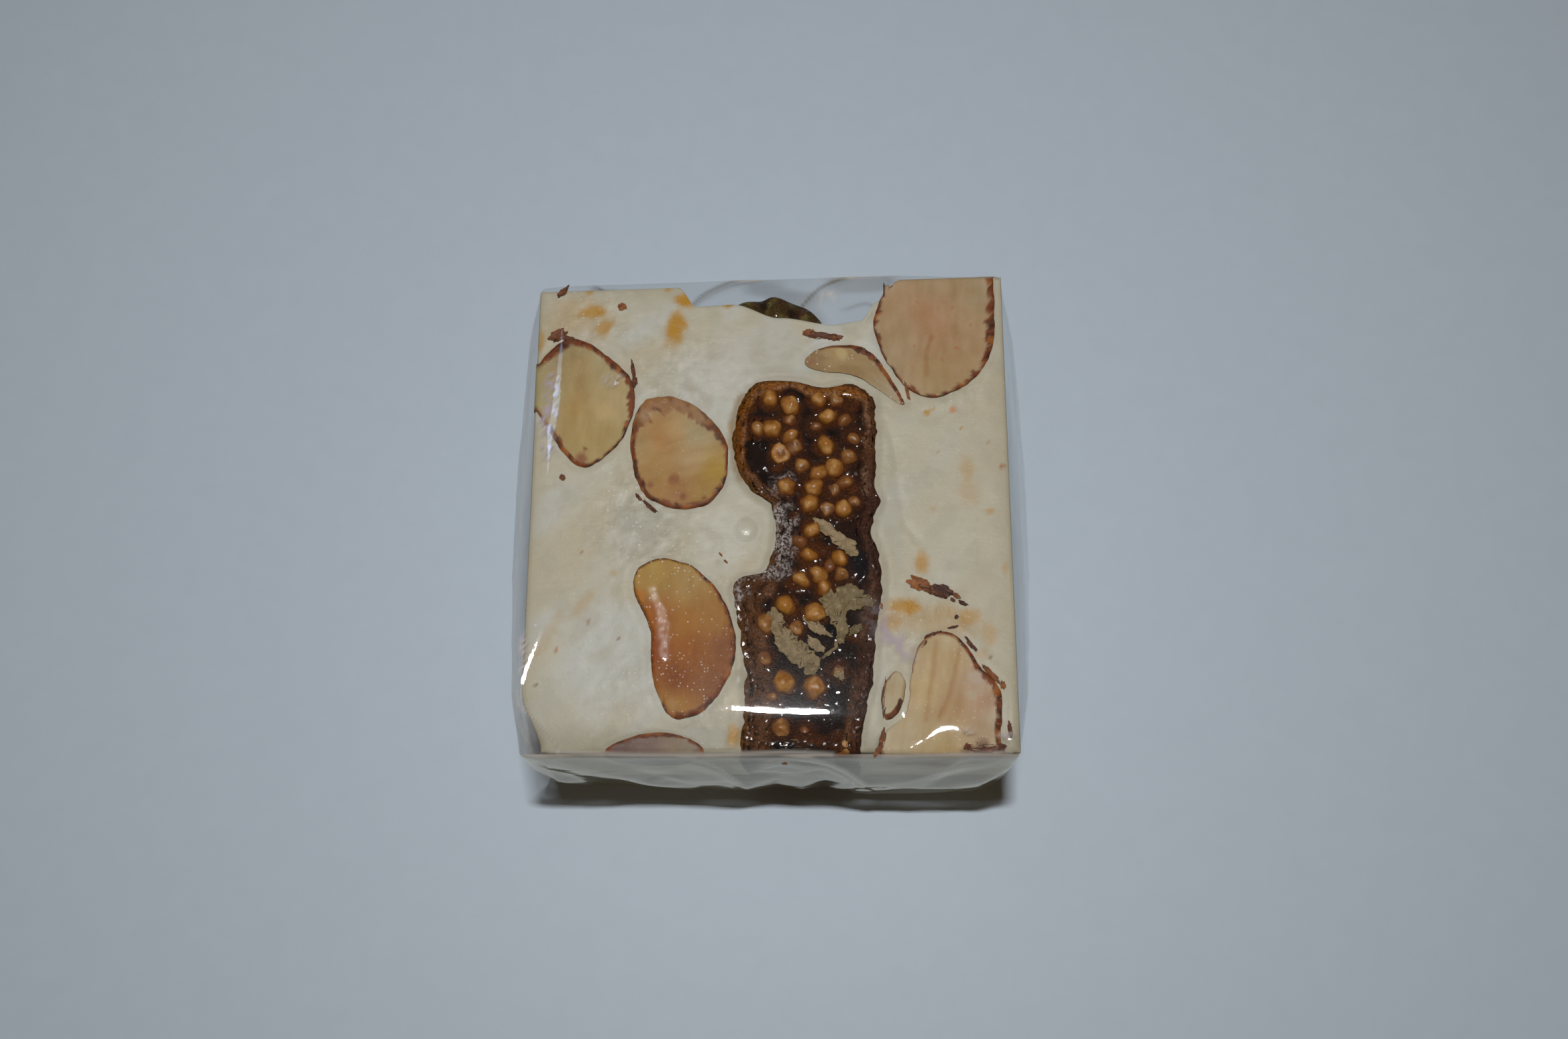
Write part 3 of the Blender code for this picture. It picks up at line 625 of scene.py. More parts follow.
fig = {
    "left": [(-3.2, -26.8), (-2.4, -20.0), (-2.8, -13.0), (-3.7, -8.8), (-3.0, -7.1), (-0.6, -6.3), (0.6, -2.2),
             (0.1, 0.5), (-2.0, 2.2), (-3.6, 5.2), (-3.5, 9.8), (-2.6, 12.4)],
    "right": [(8.8, -26.8), (8.8, -22.0), (10.0, -17.4), (10.4, -12.4), (11.1, -6.5), (10.1, -1.9), (10.9, 0.8),
              (10.5, 2.8), (10.8, 8.0), (10.5, 12.1)],
    "top": [(-1, 12.4), (-0.7, 13.7), (-0.2, 13.8), (0.16, 13.1), (0.55, 13.5), (1, 12.1)],
    "leans": 0.5, "waves": 0.25,
    "seeds": [(0, 11.8), (2, 11), (4.9, 11.8), (6.7, 11.8), (5.8, 9.9), (7.5, 9.6), (-1.3, 8.6), (0.2, 8.6),
              (2, 7.8), (1, 6), (2.3, 6.8), (4.6, 8.9), (5.6, 6.7), (8.4, 7.7), (7.8, 5.7), (1.9, 9.6), (6.3, 4.5),
              (4.9, 3.9), (3.1, 4.7), (1.6, 2.4), (4.3, 2.3), (6.3, 2.2), (7.5, 3), (3.9, 0.7), (7.3, 0.2), (8.4, 1),
              (5.6, 0.2), (4.1, -2.1), (2.9, -3.2), (3.8, -4.6), (4.8, -6.6), (3, -7.1), (5.3, -7.9), (7.1, -6.5),
              (5.9, -5.6), (6.9, -5), (1.5, -9.8), (4.4, -10.5), (-0.5, -11.5), (2.5, -11.9), (-0.6, -14.9),
              (1.3, -17.4), (4.3, -17.8), (6.6, -16.2), (0.2, -18.8), (3.3, -22.3), (1.1, -21.8), (-1.2, -23.1),
              (6.9, -23.4)],
    "bright": {0: 0.8, 1: 0.75, 2: 0.8, 4: 0.85, 6: 0.55, 7: 0.7, 8: 0.75, 9: 1.0, 12: 0.75, 16: 0.75, 17: 0.55,
               19: 0.6, 20: 0.7, 23: 0.85, 24: 0.75, 27: 0.75, 29: 0.9, 30: 0.75, 31: 0.85, 32: 0.8, 35: 0.9,
               36: 0.95, 37: 0.8, 41: 0.6, 42: 0.6},
    "seedSize": (0.94, 1.26),
    "tones": {"flesh": (28, 20, 19), "shade": (12, 12, 16), "amber": (84, 44, 18), "rind": (84, 52, 30),
              "golden": (112, 62, 6), "crown": (130, 80, 34), "plum": (68, 42, 32), "inner": (136, 102, 78)},
}


def figEdges():
    return curveThrough(fig["left"], closed=False), curveThrough(fig["right"], closed=False)


def figOutline():
    left, right = figEdges()
    top = curveThrough(fig["top"], closed=False)
    across = left[-1, 0] + (right[-1, 0] - left[-1, 0]) * (top[:, 0] + 1) / 2
    return np.vstack([left, np.column_stack([across, top[:, 1]])[1:-1], right[::-1]])


def figSlice():
    bm = boxOfFaces(64, 170, 30)
    left, right = figEdges()
    top = curveThrough(fig["top"], closed=False)
    unit = placesOf(bm)
    height = slab["foot"] + towardsEnds(unit[:, 2]) * (slab["top"] - slab["foot"])
    head = np.interp(unit[:, 0], top[:, 0], top[:, 1])
    y = slab["front"] + (head - slab["front"]) * (towardsEnds((unit[:, 1] + 1) / 2, 0.35))
    edge = np.column_stack([y, height, unit[:, 0] * 30])
    ragged = smoothStep(unit[:, 2], 0.6, 1.0)
    lowX = np.interp(y, left[:, 1], left[:, 0]) + (0.32 * grain(edge, 1.3, 1) + 0.16 * ragged * grain(edge, 0.5, 3))
    highX = np.interp(y, right[:, 1], right[:, 0]) + (0.26 * grain(edge, 1.5, 2) + 0.14 * ragged * grain(edge, 0.5, 4))
    x = lowX + (highX - lowX) * towardsEnds((unit[:, 0] + 1) / 2, 0.4)
    depth = (slab["top"] - height) / slab["top"]
    x += fig["leans"] * depth + fig["waves"] * np.sin(math.tau * depth) * np.cos(y / 6)
    places = settle(np.column_stack([x, y, height]))
    inward = -edgeDistance(places[:, :2] - np.column_stack([fig["leans"] * depth, 0 * depth]), figOutline())
    lumps = grain(places, 1.6, 5) + 0.6 * grain(places, 0.8, 6) + 0.25 * grain(places, 0.4, 7)
    flesh = smoothStep(inward, 0.9, 1.9)
    onTop, onFront = unit[:, 2] > 0.999, unit[:, 1] < -0.999
    byFront = 1 - smoothStep(y, slab["front"] + 0.4, slab["front"] + 2.0)
    sunk = flesh * (1 - byFront)
    places[:, 2] += np.where(onTop, 0.05 - 0.28 * sunk + 0.18 * lumps * sunk + 0.07 * lumps + 0.12 * byFront, 0)
    places[:, 1] -= np.where(onFront, 0.14 + 0.07 * lumps, 0)
    moveTo(bm, places)
    tones = {key: asLit(*tone) for key, tone in fig["tones"].items()}
    colour = np.tile(tones["flesh"], (len(places), 1))
    colour = blend(colour, tones["shade"], smoothStep(grain(places, 1.9, 7), -0.02, 0.3))
    seeds = np.array(fig["seeds"], float)
    glow = np.array([fig["bright"].get(index, 0.35) for index in range(len(seeds))])
    away = np.sqrt(((places[:, None, :2] - seeds) ** 2).sum(2)) + 0.3 * grain(places, 0.8, 23)[:, None]
    halo = ((1 - smoothStep(away, 0.9, 1.7)) * (0.25 + 0.6 * glow)).max(1)
    warm = smoothStep(grain(places, 1.7, 8), 0.15, 0.5) * 0.7 + 0.6 * np.exp(-np.hypot(places[:, 0] - 6, places[:, 1] - 1.5) / 2.5)
    colour = blend(colour, tones["amber"], np.clip(np.maximum(halo, warm), 0, 1))
    x, y = places[:, 0], places[:, 1]
    lower = smoothStep(-y, 6, 9)
    narrow = smoothStep(4 - np.abs(y + 2), 0, 2.5) * (x < 3.5)
    bandWidth = np.where(x < 3.5, 1.25 + 1.3 * lower - 0.9 * narrow, 1.35 + 0.5 * lower)
    wander = inward + 0.45 * grain(places, 1.3, 9) + 0.15 * grain(places, 0.5, 15)
    band = 1 - smoothStep(wander, bandWidth * 0.8, bandWidth * 1.15)
    rind = np.tile(tones["rind"], (len(places), 1))
    rind = blend(rind, tones["golden"], smoothStep(y, 2, 5) * (1 - smoothStep(x, -2.2, -0.5)))
    rind = blend(rind, tones["crown"], smoothStep(y, 11.0, 12.4))
    rind = blend(rind, tones["plum"], smoothStep(x, 7, 9) * (1 - smoothStep(y, 2, 7)))
    rind *= 1 + 0.35 * (grain(places, 0.9, 10) + 0.5 * grain(places, 0.35, 16))[:, None]
    ridge = np.exp(-((wander / bandWidth - 0.72) / 0.14) ** 2) * smoothStep(grain(places, 2.0, 22), -0.35, 0.1)
    rind = blend(rind, tones["inner"], ridge * (0.25 + 0.45 * smoothStep(y, -3, 4)))
    colour = blend(colour, rind, band)
    pits = smoothStep(grain(places, 0.6, 24) + 0.5 * grain(places, 0.3, 25), 0.22, 0.4) * band
    colour = blend(colour, asLit(44, 26, 18), pits * 0.7)
    cool = np.exp(-(np.hypot((places[:, 0] - 8.7) / 1.5, (places[:, 1] + 5.4) / 1.8)) ** 2)
    colour = blend(colour, asLit(22, 26, 32), cool * 0.9)
    outer = 1 - smoothStep(inward + 0.25 * grain(places, 0.7, 11), 0.1, 0.5)
    colour = blend(colour, np.where((x < 3)[:, None], asLit(88, 58, 22), asLit(58, 36, 24)), outer * 0.8)
    web = np.zeros(len(places))
    for x0, y0, rx, ry in ((0.9, -2.6, 2.2, 4.2), (-0.2, -6.2, 2.6, 1.2), (-2.9, -8.2, 0.9, 1.4), (1.0, 2.6, 1.4, 1.6)):
        near = np.hypot((x - x0) / rx, (y - y0) / ry) + 0.6 * grain(places, 1.1, 12)
        web = np.maximum(web, np.where(onTop, 1 - smoothStep(near, 0.45, 1.15), 0))
    web *= smoothStep(grain(places, 0.9, 17), -0.5, 0.1)
    colour = blend(colour, asLit(74, 60, 54), web * 0.7)
    # where the flesh carries sugar dust and painted glints, more towards the front
    dust = np.clip(0.4 + 0.45 * smoothStep(-y, 1, 8) + 0.3 * smoothStep(grain(places, 3, 13), 0.1, 0.4), 0, 0.85)
    return finishPiece(bm, "figSlice", "fig", ("fig_slice",), {
        "paint": np.clip(colour, 0.0008, 0.9), "dust": dust, "dry": np.clip(band * 0.9, 0, 1), "web": web})


def figSeeds():
    bm = bmesh.new()
    random.seed(11)
    tones, paintedLightHeights = [], []
    spots = [(x, y, slab["top"] - 0.42, fig["bright"].get(index, random.uniform(0.15, 0.45)))
             for index, (x, y) in enumerate(fig["seeds"])]
    spots += [(random.uniform(-1, 8), slab["front"] + 0.34, random.uniform(3, 18), random.random()) for _ in range(16)]
    for index, (x, y, z, tone) in enumerate(spots):
        size = random.uniform(*fig["seedSize"]) * (1.15 if index == 9 else 0.86 if tone < 0.4 else 1.0)
        made = bmesh.ops.create_icosphere(bm, subdivisions=3, radius=size)["verts"]
        bmesh.ops.scale(bm, vec=(1.0, random.uniform(0.74, 0.97), 0.92), verts=made)
        turn = Matrix.Rotation(random.uniform(0, math.pi), 3, "Z")
        bmesh.ops.rotate(bm, cent=(0, 0, 0), matrix=turn, verts=made)
        for vert in made:
            vert.co *= 1 + 0.24 * noise.noise(vert.co * 1.3 + Vector((index * 3.1, 0, 0)))
            if index == 9:  # the one that the knife went through
                away = math.hypot(vert.co.x, vert.co.y)
                vert.co.z = min(vert.co.z, 0.5) - (0.10 if 0.22 < away < 0.36 and vert.co.z > 0 else 0)
        sunk = -0.36 if tone < 0.5 else -0.06
        high = [vert.co.z if index < len(fig["seeds"]) else -vert.co.y for vert in made]
        if index == 9:
            high = [0.35 if 0.2 < math.hypot(*vert.co.xy) < 0.42 else min(1, 2 * vert.co.z) for vert in made]
        # height on each seed, used to paint shade low and highlight high
        paintedLightHeights += high
        bmesh.ops.translate(bm, vec=(x, y, z + sunk + random.uniform(-0.12, 0.08)), verts=made)
        tones += [tone * random.uniform(0.92, 1.08)] * len(made)
    return finishPiece(bm, "figSeeds", "seed", (), {
        "tone": np.clip(tones, 0, 1), "crown": smoothStep(np.array(paintedLightHeights), 0.15, 0.92)})


figSlice()
figSeeds()
print("fig slice and seeds made")


def figEnd():
    low, high = (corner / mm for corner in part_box("fig_end"))
    middle, half = np.array((low + high) / 2), np.array((high - low) / 2)
    bm = bmesh.new()
    bmesh.ops.create_uvsphere(bm, u_segments=96, v_segments=56, radius=1)
    unit = placesOf(bm)
    folds = 0.05 * np.sin(unit[:, 0] * 9 + 3 * grain(unit, 0.9, 1)) + 0.05 * grain(unit, 0.45, 2)
    places = unit * (1.0 + folds - 0.05)[:, None] * half + middle
    places[:, 1] -= 0.05 * np.maximum(-unit[:, 0], 0) * half[0]
    moveTo(bm, places)
    colour = np.tile(asLit(70, 56, 30), (len(places), 1))
    colour = blend(colour, asLit(104, 92, 52), smoothStep(grain(places, 1.4, 3), 0.0, 0.4))
    colour = blend(colour, asLit(74, 46, 32), smoothStep(grain(places, 1.8, 4), 0.05, 0.4))
    # painted shade in the dents between the folds
    colour = blend(colour, asLit(40, 30, 22), smoothStep(-folds, 0.01, 0.07))
    blank = np.zeros(len(places))
    return finishPiece(bm, "figEnd", "fig", ("fig_end",), {"paint": colour, "dust": blank, "dry": blank + 0.2, "web": blank})


figEnd()
print("fig end made")


# ---- the nougat

nougat = {
    # stains: x, y, half width, half length, turn, strength
    "stains": [(-18.3, 21.4, 1.9, 1.1, 0, 1.0), (-17.4, 19.6, 1.5, 1.1, 30, 0.8), (-9.8, 19.6, 1.3, 2.4, -12, 1.1),
               (-9.0, 22.6, 1.3, 1.0, 0, 1.1), (-4.4, 22.2, 0.6, 0.45, 0, 1), (-18.8, 23.6, 0.5, 0.5, 0, 0.8),
               (-10.8, 23.9, 0.5, 0.3, 0, 0.8), (-23.7, 18.2, 0.5, 1.6, 0, 0.6), (14.9, -5.4, 0.9, 1.2, 0, 0.85),
               (13.2, -9.9, 2.4, 1.1, -8, 1.0), (12.0, -11.2, 1.6, 1.2, 20, 0.7), (19.5, -10.9, 1.6, 1.2, 0, 0.7),
               (17.6, -10.4, 1.6, 1.0, 0, 0.5), (21.2, -12.6, 1.0, 1.3, 0, 0.45), (20.6, -14.6, 1.0, 0.8, 0, 0.3),
               (19.7, 4.2, 0.9, 1.6, 10, 0.42), (19.9, 1.8, 1.3, 1.7, 0, 0.28), (15.9, 10.3, 0.45, 0.35, 0, 1.1),
               (16.5, 10.7, 0.3, 0.25, 0, 0.8), (19.3, 8.6, 0.2, 0.2, 0, 0.9), (21.9, -0.1, 0.6, 0.4, 0, 0.6),
               (23.1, -6, 0.4, 0.9, 0, 0.45), (16.2, 0.1, 0.45, 0.3, 0, 0.4), (11.6, 0.6, 0.2, 0.2, 0, 0.6),
               (-15.5, -6.5, 0.6, 0.5, 0, 0.5), (-17.6, 6.4, 0.2, 0.2, 0, 0.5), (-3.3, -22.6, 0.9, 1.4, 0, 1.0),
               (-3.9, 8.4, 0.4, 1.2, 0, 0.8), (-21.6, -12.5, 0.8, 3.6, -28, 0.25), (-18.4, -9.6, 0.7, 2.6, -35, 0.3),
               (16.4, -11.3, 6.0, 2.2, -5, 0.42), (-19.6, 20.8, 4.4, 3.2, 0, 0.28), (14.4, 13.9, 1.0, 2.2, 30, 0.25)],
    "freckles": [(18.5, 10.6, 0.28, (178, 112, 66)), (-20.8, -14.2, 0.22, (150, 112, 70)), (-17.8, -11.4, 0.18, (128, 98, 70)),
                 (21.9, 7.0, 0.18, (150, 112, 72)), (23.3, 4.6, 0.28, (146, 96, 52)), (-22.7, -17.6, 0.2, (110, 84, 60)),
                 (-18.6, -4.4, 0.16, (150, 112, 76)), (16.9, 6.0, 0.12, (158, 124, 88)), (21.4, -14.8, 0.15, (120, 96, 66)),
                 (-14.8, -13.0, 0.14, (112, 96, 76)), (-16.2, 6.9, 0.2, (144, 88, 56)), (20.3, 9.1, 0.12, (170, 126, 66))],
    # domes: x, y, radius, rise
    "domes": [(-2.4, -2.1, 1.15, 0.30), (-2.5, -4.1, 0.35, 0.10), (-5.0, -5.7, 0.5, 0.10), (-12.3, -2.1, 0.5, 0.12),
              (-3.0, -10.6, 0.7, 0.16), (-2.9, -17.0, 0.75, 0.16)],
    # grey: clear patches where syrup shows, x, y, half width, half length, turn, strength
    "clear": [(-6.6, -22.9, 4.2, 1.2, 0, 0.7), (1.6, 14.4, 4.6, 0.8, 0, 0.6), (-3.0, -10.6, 0.7, 0.9, 0, 0.8), (-2.9, -17.0, 0.7, 1.1, 0, 0.8), (-14.2, -1.4, 0.55, 1.6, 10, 0.8),
              (-5.0, -5.6, 0.6, 0.6, 0, 0.7), (-6.2, -22.4, 3.2, 0.9, -6, 0.9), (-12.0, -0.9, 2.4, 0.7, 0, 0.4),
              (-4.6, -20.6, 1.4, 0.7, 0, 0.3), (11.9, 2.0, 1.0, 6.0, -4, 0.35), (12.4, -3.4, 1.1, 3.0, 8, 0.5),
              (11.2, 9.6, 0.7, 2.4, 0, 0.4), (0.2, 14.8, 2.8, 0.8, 10, 0.45), (13.6, 9.8, 1.4, 0.7, -30, 0.3)],
    "rumpled": [(-14.2, 0.6, 3.6, 0.9), (-10.5, -3.2, 5.0, 0.7), (-6.6, -20.6, 3.0, 0.8), (-9.0, 14.5, 4.5, 0.6),
                (-18, 20.5, 4.5, 0.6), (14.6, -11.0, 4.0, 0.5), (19.0, 12.0, 3.0, 0.5), (10.6, 20.6, 2.0, 0.7),
                (-14.5, -17.5, 4.5, 0.35), (13.0, 3.0, 2.2, 0.4)],
}


def patches(places, spots, rough=0.22, size=0.9):  # how strongly each place lies in one of the turned ovals
    most = np.zeros(len(places))
    wobble = rough * grain(places, size, 12) + 0.5 * rough * grain(places, size / 3, 18)
    for x0, y0, wide, long_, turn, strength in spots:
        c, s = math.cos(math.radians(turn)), math.sin(math.radians(turn))
        across = (places[:, 0] - x0) * c + (places[:, 1] - y0) * s
        along = (places[:, 1] - y0) * c - (places[:, 0] - x0) * s
        near = np.hypot(across / wide, along / long_) + wobble
        most = np.maximum(most, (1 - smoothStep(near, 0.35, 1.15)) * strength)
    return most


def nougatPiece():
    bm = boxOfFaces(156, 156, 44)
    unit = placesOf(bm)
    height = slab["foot"] + towardsEnds(unit[:, 2]) * (slab["top"] - slab["foot"])
    cutX, cutY = slab["corner"]
    y = slab["front"] + (backAt(unit[:, 0] * slab["side"]) - slab["front"]) * (unit[:, 1] + 1) / 2
    leftX = cutX * (1 - smoothStep(y, slab["front"], slab["front"] + cutY * 1.1)) - slab["side"]
    x = leftX + (slab["side"] - leftX) * (unit[:, 0] + 1) / 2
    places = np.column_stack([x, y, height])
    pull = np.array([eased(slab["hollow"], value) for value in x]) * smoothStep(height, slab["hollowFloor"], slab["top"])
    places[:, 1] -= pull * np.clip(unit[:, 1] * 2 - 1, 0, 1)
    up = (height - slab["foot"]) / (slab["top"] - slab["foot"])
    nearEdge = np.clip(1 - np.minimum(height - slab["foot"], slab["top"] - height) / slab["edge"], 0, 1)
    swell = slab["sag"] * np.sin(math.pi * up) - slab["edge"] * (1 - np.sqrt(1 - nearEdge**2))
    places[:, :2] *= (1 + swell / slab["side"])[:, None]
    onTop = unit[:, 2] > 0.999
    cap = places[onTop]
    coarse = np.full(len(places), 0.3)
    wet, paintedReliefLightAndShade = np.zeros((2, len(places)))
    rumple = sum(strength * np.exp(-((cap[:, 0] - x0) ** 2 + (cap[:, 1] - y0) ** 2) / radius**2)
                 for x0, y0, radius, strength in nougat["rumpled"])
    lift = 0.08 * grain(cap, 7, 1) + 0.035 * grain(cap, 2.2, 2) + 0.012 * grain(cap, 0.7, 3) - 0.09
    rumple = np.clip(rumple, 0, 1)
    coarse[onTop] = rumple
    ridges = np.abs(grain(cap, 1.5, 15)) * 0.30 + np.abs(grain(cap, 0.75, 16)) * 0.22 - 0.14
    lift += rumple * ridges
    # the rumple's ridges and valleys, kept to paint light on the ridges and shade in the valleys
    paintedReliefLightAndShade[onTop] = rumple * ridges * 7
    nearest = np.full(len(cap), 9.0)
    for outline in [curveThrough(shape["outline"]) for shape in almonds.values()] + [figOutline()]:
        nearest = np.minimum(nearest, edgeDistance(cap[:, :2], outline))
    lift += 0.07 * np.exp(-((nearest - 0.9) / 0.5) ** 2) - 0.10 * np.exp(-(nearest / 0.3) ** 2)
    fromEdge = slab["side"] - np.maximum(np.abs(unit[onTop, 0]), np.abs(unit[onTop, 1])) * slab["side"]
    lift -= 0.6 * smoothStep(-nearest, 0.35, 0.8) * smoothStep(fromEdge, 0.5, 1.3)
    for x0, y0, radius, rise in nougat["domes"]:
        away = np.hypot(cap[:, 0] - x0, cap[:, 1] - y0) / radius
        lift += rise * np.sqrt(np.clip(1 - away**2, 0, 1)) - 0.3 * rise * np.exp(-((away - 1.12) / 0.14) ** 2)
        wet[onTop] = np.maximum(wet[onTop], (1 - smoothStep(away, 0.8, 1.1)) * float(smoothStep(radius, 0.4, 1.1)))
    groove = distanceToPath(cap[:, :2], curveThrough(nougat["groove"], closed=False))
    lift -= 0.12 * np.exp(-(groove / 0.35) ** 2)
    places[onTop, 2] += lift
    sideWave = 0.06 * grain(places, 6, 4) + 0.03 * grain(places, 1.8, 5) - 0.05
    outward = np.where(np.abs(unit[:, :2]) > 0.999, np.sign(unit[:, :2]), 0)
    places[:, :2] += outward * np.where((height > 1) & (height < 19.5), sideWave, 0)[:, None]
    moveTo(bm, places)
    return finishPiece(bm, "nougatBody", "nougat", ("nougat",), {
        "paint": nougatPaint(places, paintedReliefLightAndShade), "rumple": coarse, "wet": wet})


nougat["groove"] = [(11.6, 9.5), (12.6, 6.0), (13.0, 2.0), (13.4, -1.2), (14.6, -3.0)]  # beside the fig


def nougatPaint(places, paintedReliefLightAndShade):
    x, y, z = places.T
    onTop = z > slab["top"] - 0.7
    colour = np.tile(asLit(169, 165, 148), (len(places), 1))
    warped = places + 2.5 * np.column_stack([grain(places, 9, 6), grain(places, 9, 7), grain(places, 9, 8)])
    flow = grain(np.column_stack([(warped[:, 0] + warped[:, 1]) / 2.6, warped[:, 1] - warped[:, 0], warped[:, 2]]), 4.5, 9)
    colour = blend(colour, asLit(168, 157, 130), smoothStep(flow, 0.0, 0.5) * 0.6)
    colour = blend(colour, asLit(170, 171, 164), smoothStep(-flow, 0.05, 0.5) * 0.8)
    colour = blend(colour, asLit(167, 160, 138), smoothStep(x, 10, 15) * 0.6)
    for x0, y0, radius, tone, strength in (
            (-15.5, -15, 7.0, (172, 173, 166), 0.9), (-5, 14.5, 5.5, (176, 174, 164), 0.8), (-4.5, -2.6, 3.6, (178, 176, 163), 0.9),
            (0, 18, 4, (167, 167, 157), 0.8), (-21, -6, 5.0, (166, 158, 134), 0.7), (-21, -20, 3.0, (158, 154, 136), 0.6),
            (-8, 20, 4.0, (166, 158, 134), 0.5), (-13, -2, 4.0, (160, 156, 142), 0.6), (17, -3, 5.0, (171, 167, 150), 0.6)):
        near = np.hypot(x - x0, y - y0) + 1.8 * grain(places, 3, 10)
        colour = blend(colour, asLit(*tone), (1 - smoothStep(near, radius * 0.4, radius * 1.1)) * strength)
    edge = smoothStep(np.maximum(np.abs(x), np.abs(y)), 21.8, 24)
    colour = blend(colour, asLit(150, 142, 118), edge * 0.5)
    colour = blend(colour, asLit(156, 150, 132), smoothStep(grain(places, 2.0, 11), 0.12, 0.45) * 0.4)
    colour = blend(colour, asLit(154, 148, 128), smoothStep(grain(places, 0.8, 20), 0.2, 0.5) * 0.25)
    # painted light on the rumple's ridges and painted shade in its valleys
    colour = blend(colour, asLit(186, 184, 172), np.clip(paintedReliefLightAndShade, 0, 1) * 0.7)
    colour = blend(colour, asLit(138, 134, 118), np.clip(-paintedReliefLightAndShade, 0, 1) * 0.6)
    # painted light: the front face, which the key leaves in shade, made lighter and warmer
    paintedFrontLight = (1 - smoothStep(y, slab["front"] + 0.1, slab["front"] + 0.5)) * (1 - smoothStep(z, slab["top"] - 0.4, slab["top"]))
    colour = blend(colour, asLit(204, 194, 166), paintedFrontLight * 0.9)
    colour = blend(colour, asLit(140, 134, 114), np.where(onTop, smoothStep(-y, 20.6, 23.4), 0) * 0.8)
    cap = places[onTop]
    onCap = colour[onTop]
    onCap = blend(onCap, asLit(154, 152, 138), patches(cap, nougat["clear"], 0.18, 0.7) * 0.9)
    onCap = blend(onCap, asLit(160, 116, 12), patches(cap, nougat["stains"], 0.34, 1.1) * 0.95)
    byFig = edgeDistance(cap[:, :2], figOutline()) + 0.3 * grain(cap, 0.8, 19)
    leftOf = cap[:, 0] < 3.0
    goldSide = leftOf & (cap[:, 1] > 3) & (cap[:, 1] < 12.5)
    onCap = blend(onCap, asLit(126, 92, 38), np.where(goldSide, 1 - smoothStep(byFig, 0.25, 0.7), 0) * 0.9)
    onCap = blend(onCap, asLit(146, 138, 118), (1 - smoothStep(byFig, 0.2, 1.1)) * 0.6)
    for x0, y0, radius, tone in nougat["freckles"]:
        near = np.hypot(cap[:, 0] - x0, cap[:, 1] - y0) + 0.3 * radius * grain(cap, 0.4, 21)
        onCap = blend(onCap, asLit(*tone), 1 - smoothStep(near, radius * 0.6, radius * 1.3))
    colour[onTop] = onCap
    stray = smoothStep(grain(places, 2.2, 14), 0.42, 0.6)
    colour = colour * [0.965, 0.96, 0.955]
    return blend(colour, asLit(156, 128, 78), np.where(onTop, 0, stray) * 0.7)


nougatPiece()
print("nougat made")


# ---- crumbs, husks and bits of skin that lie on the cut

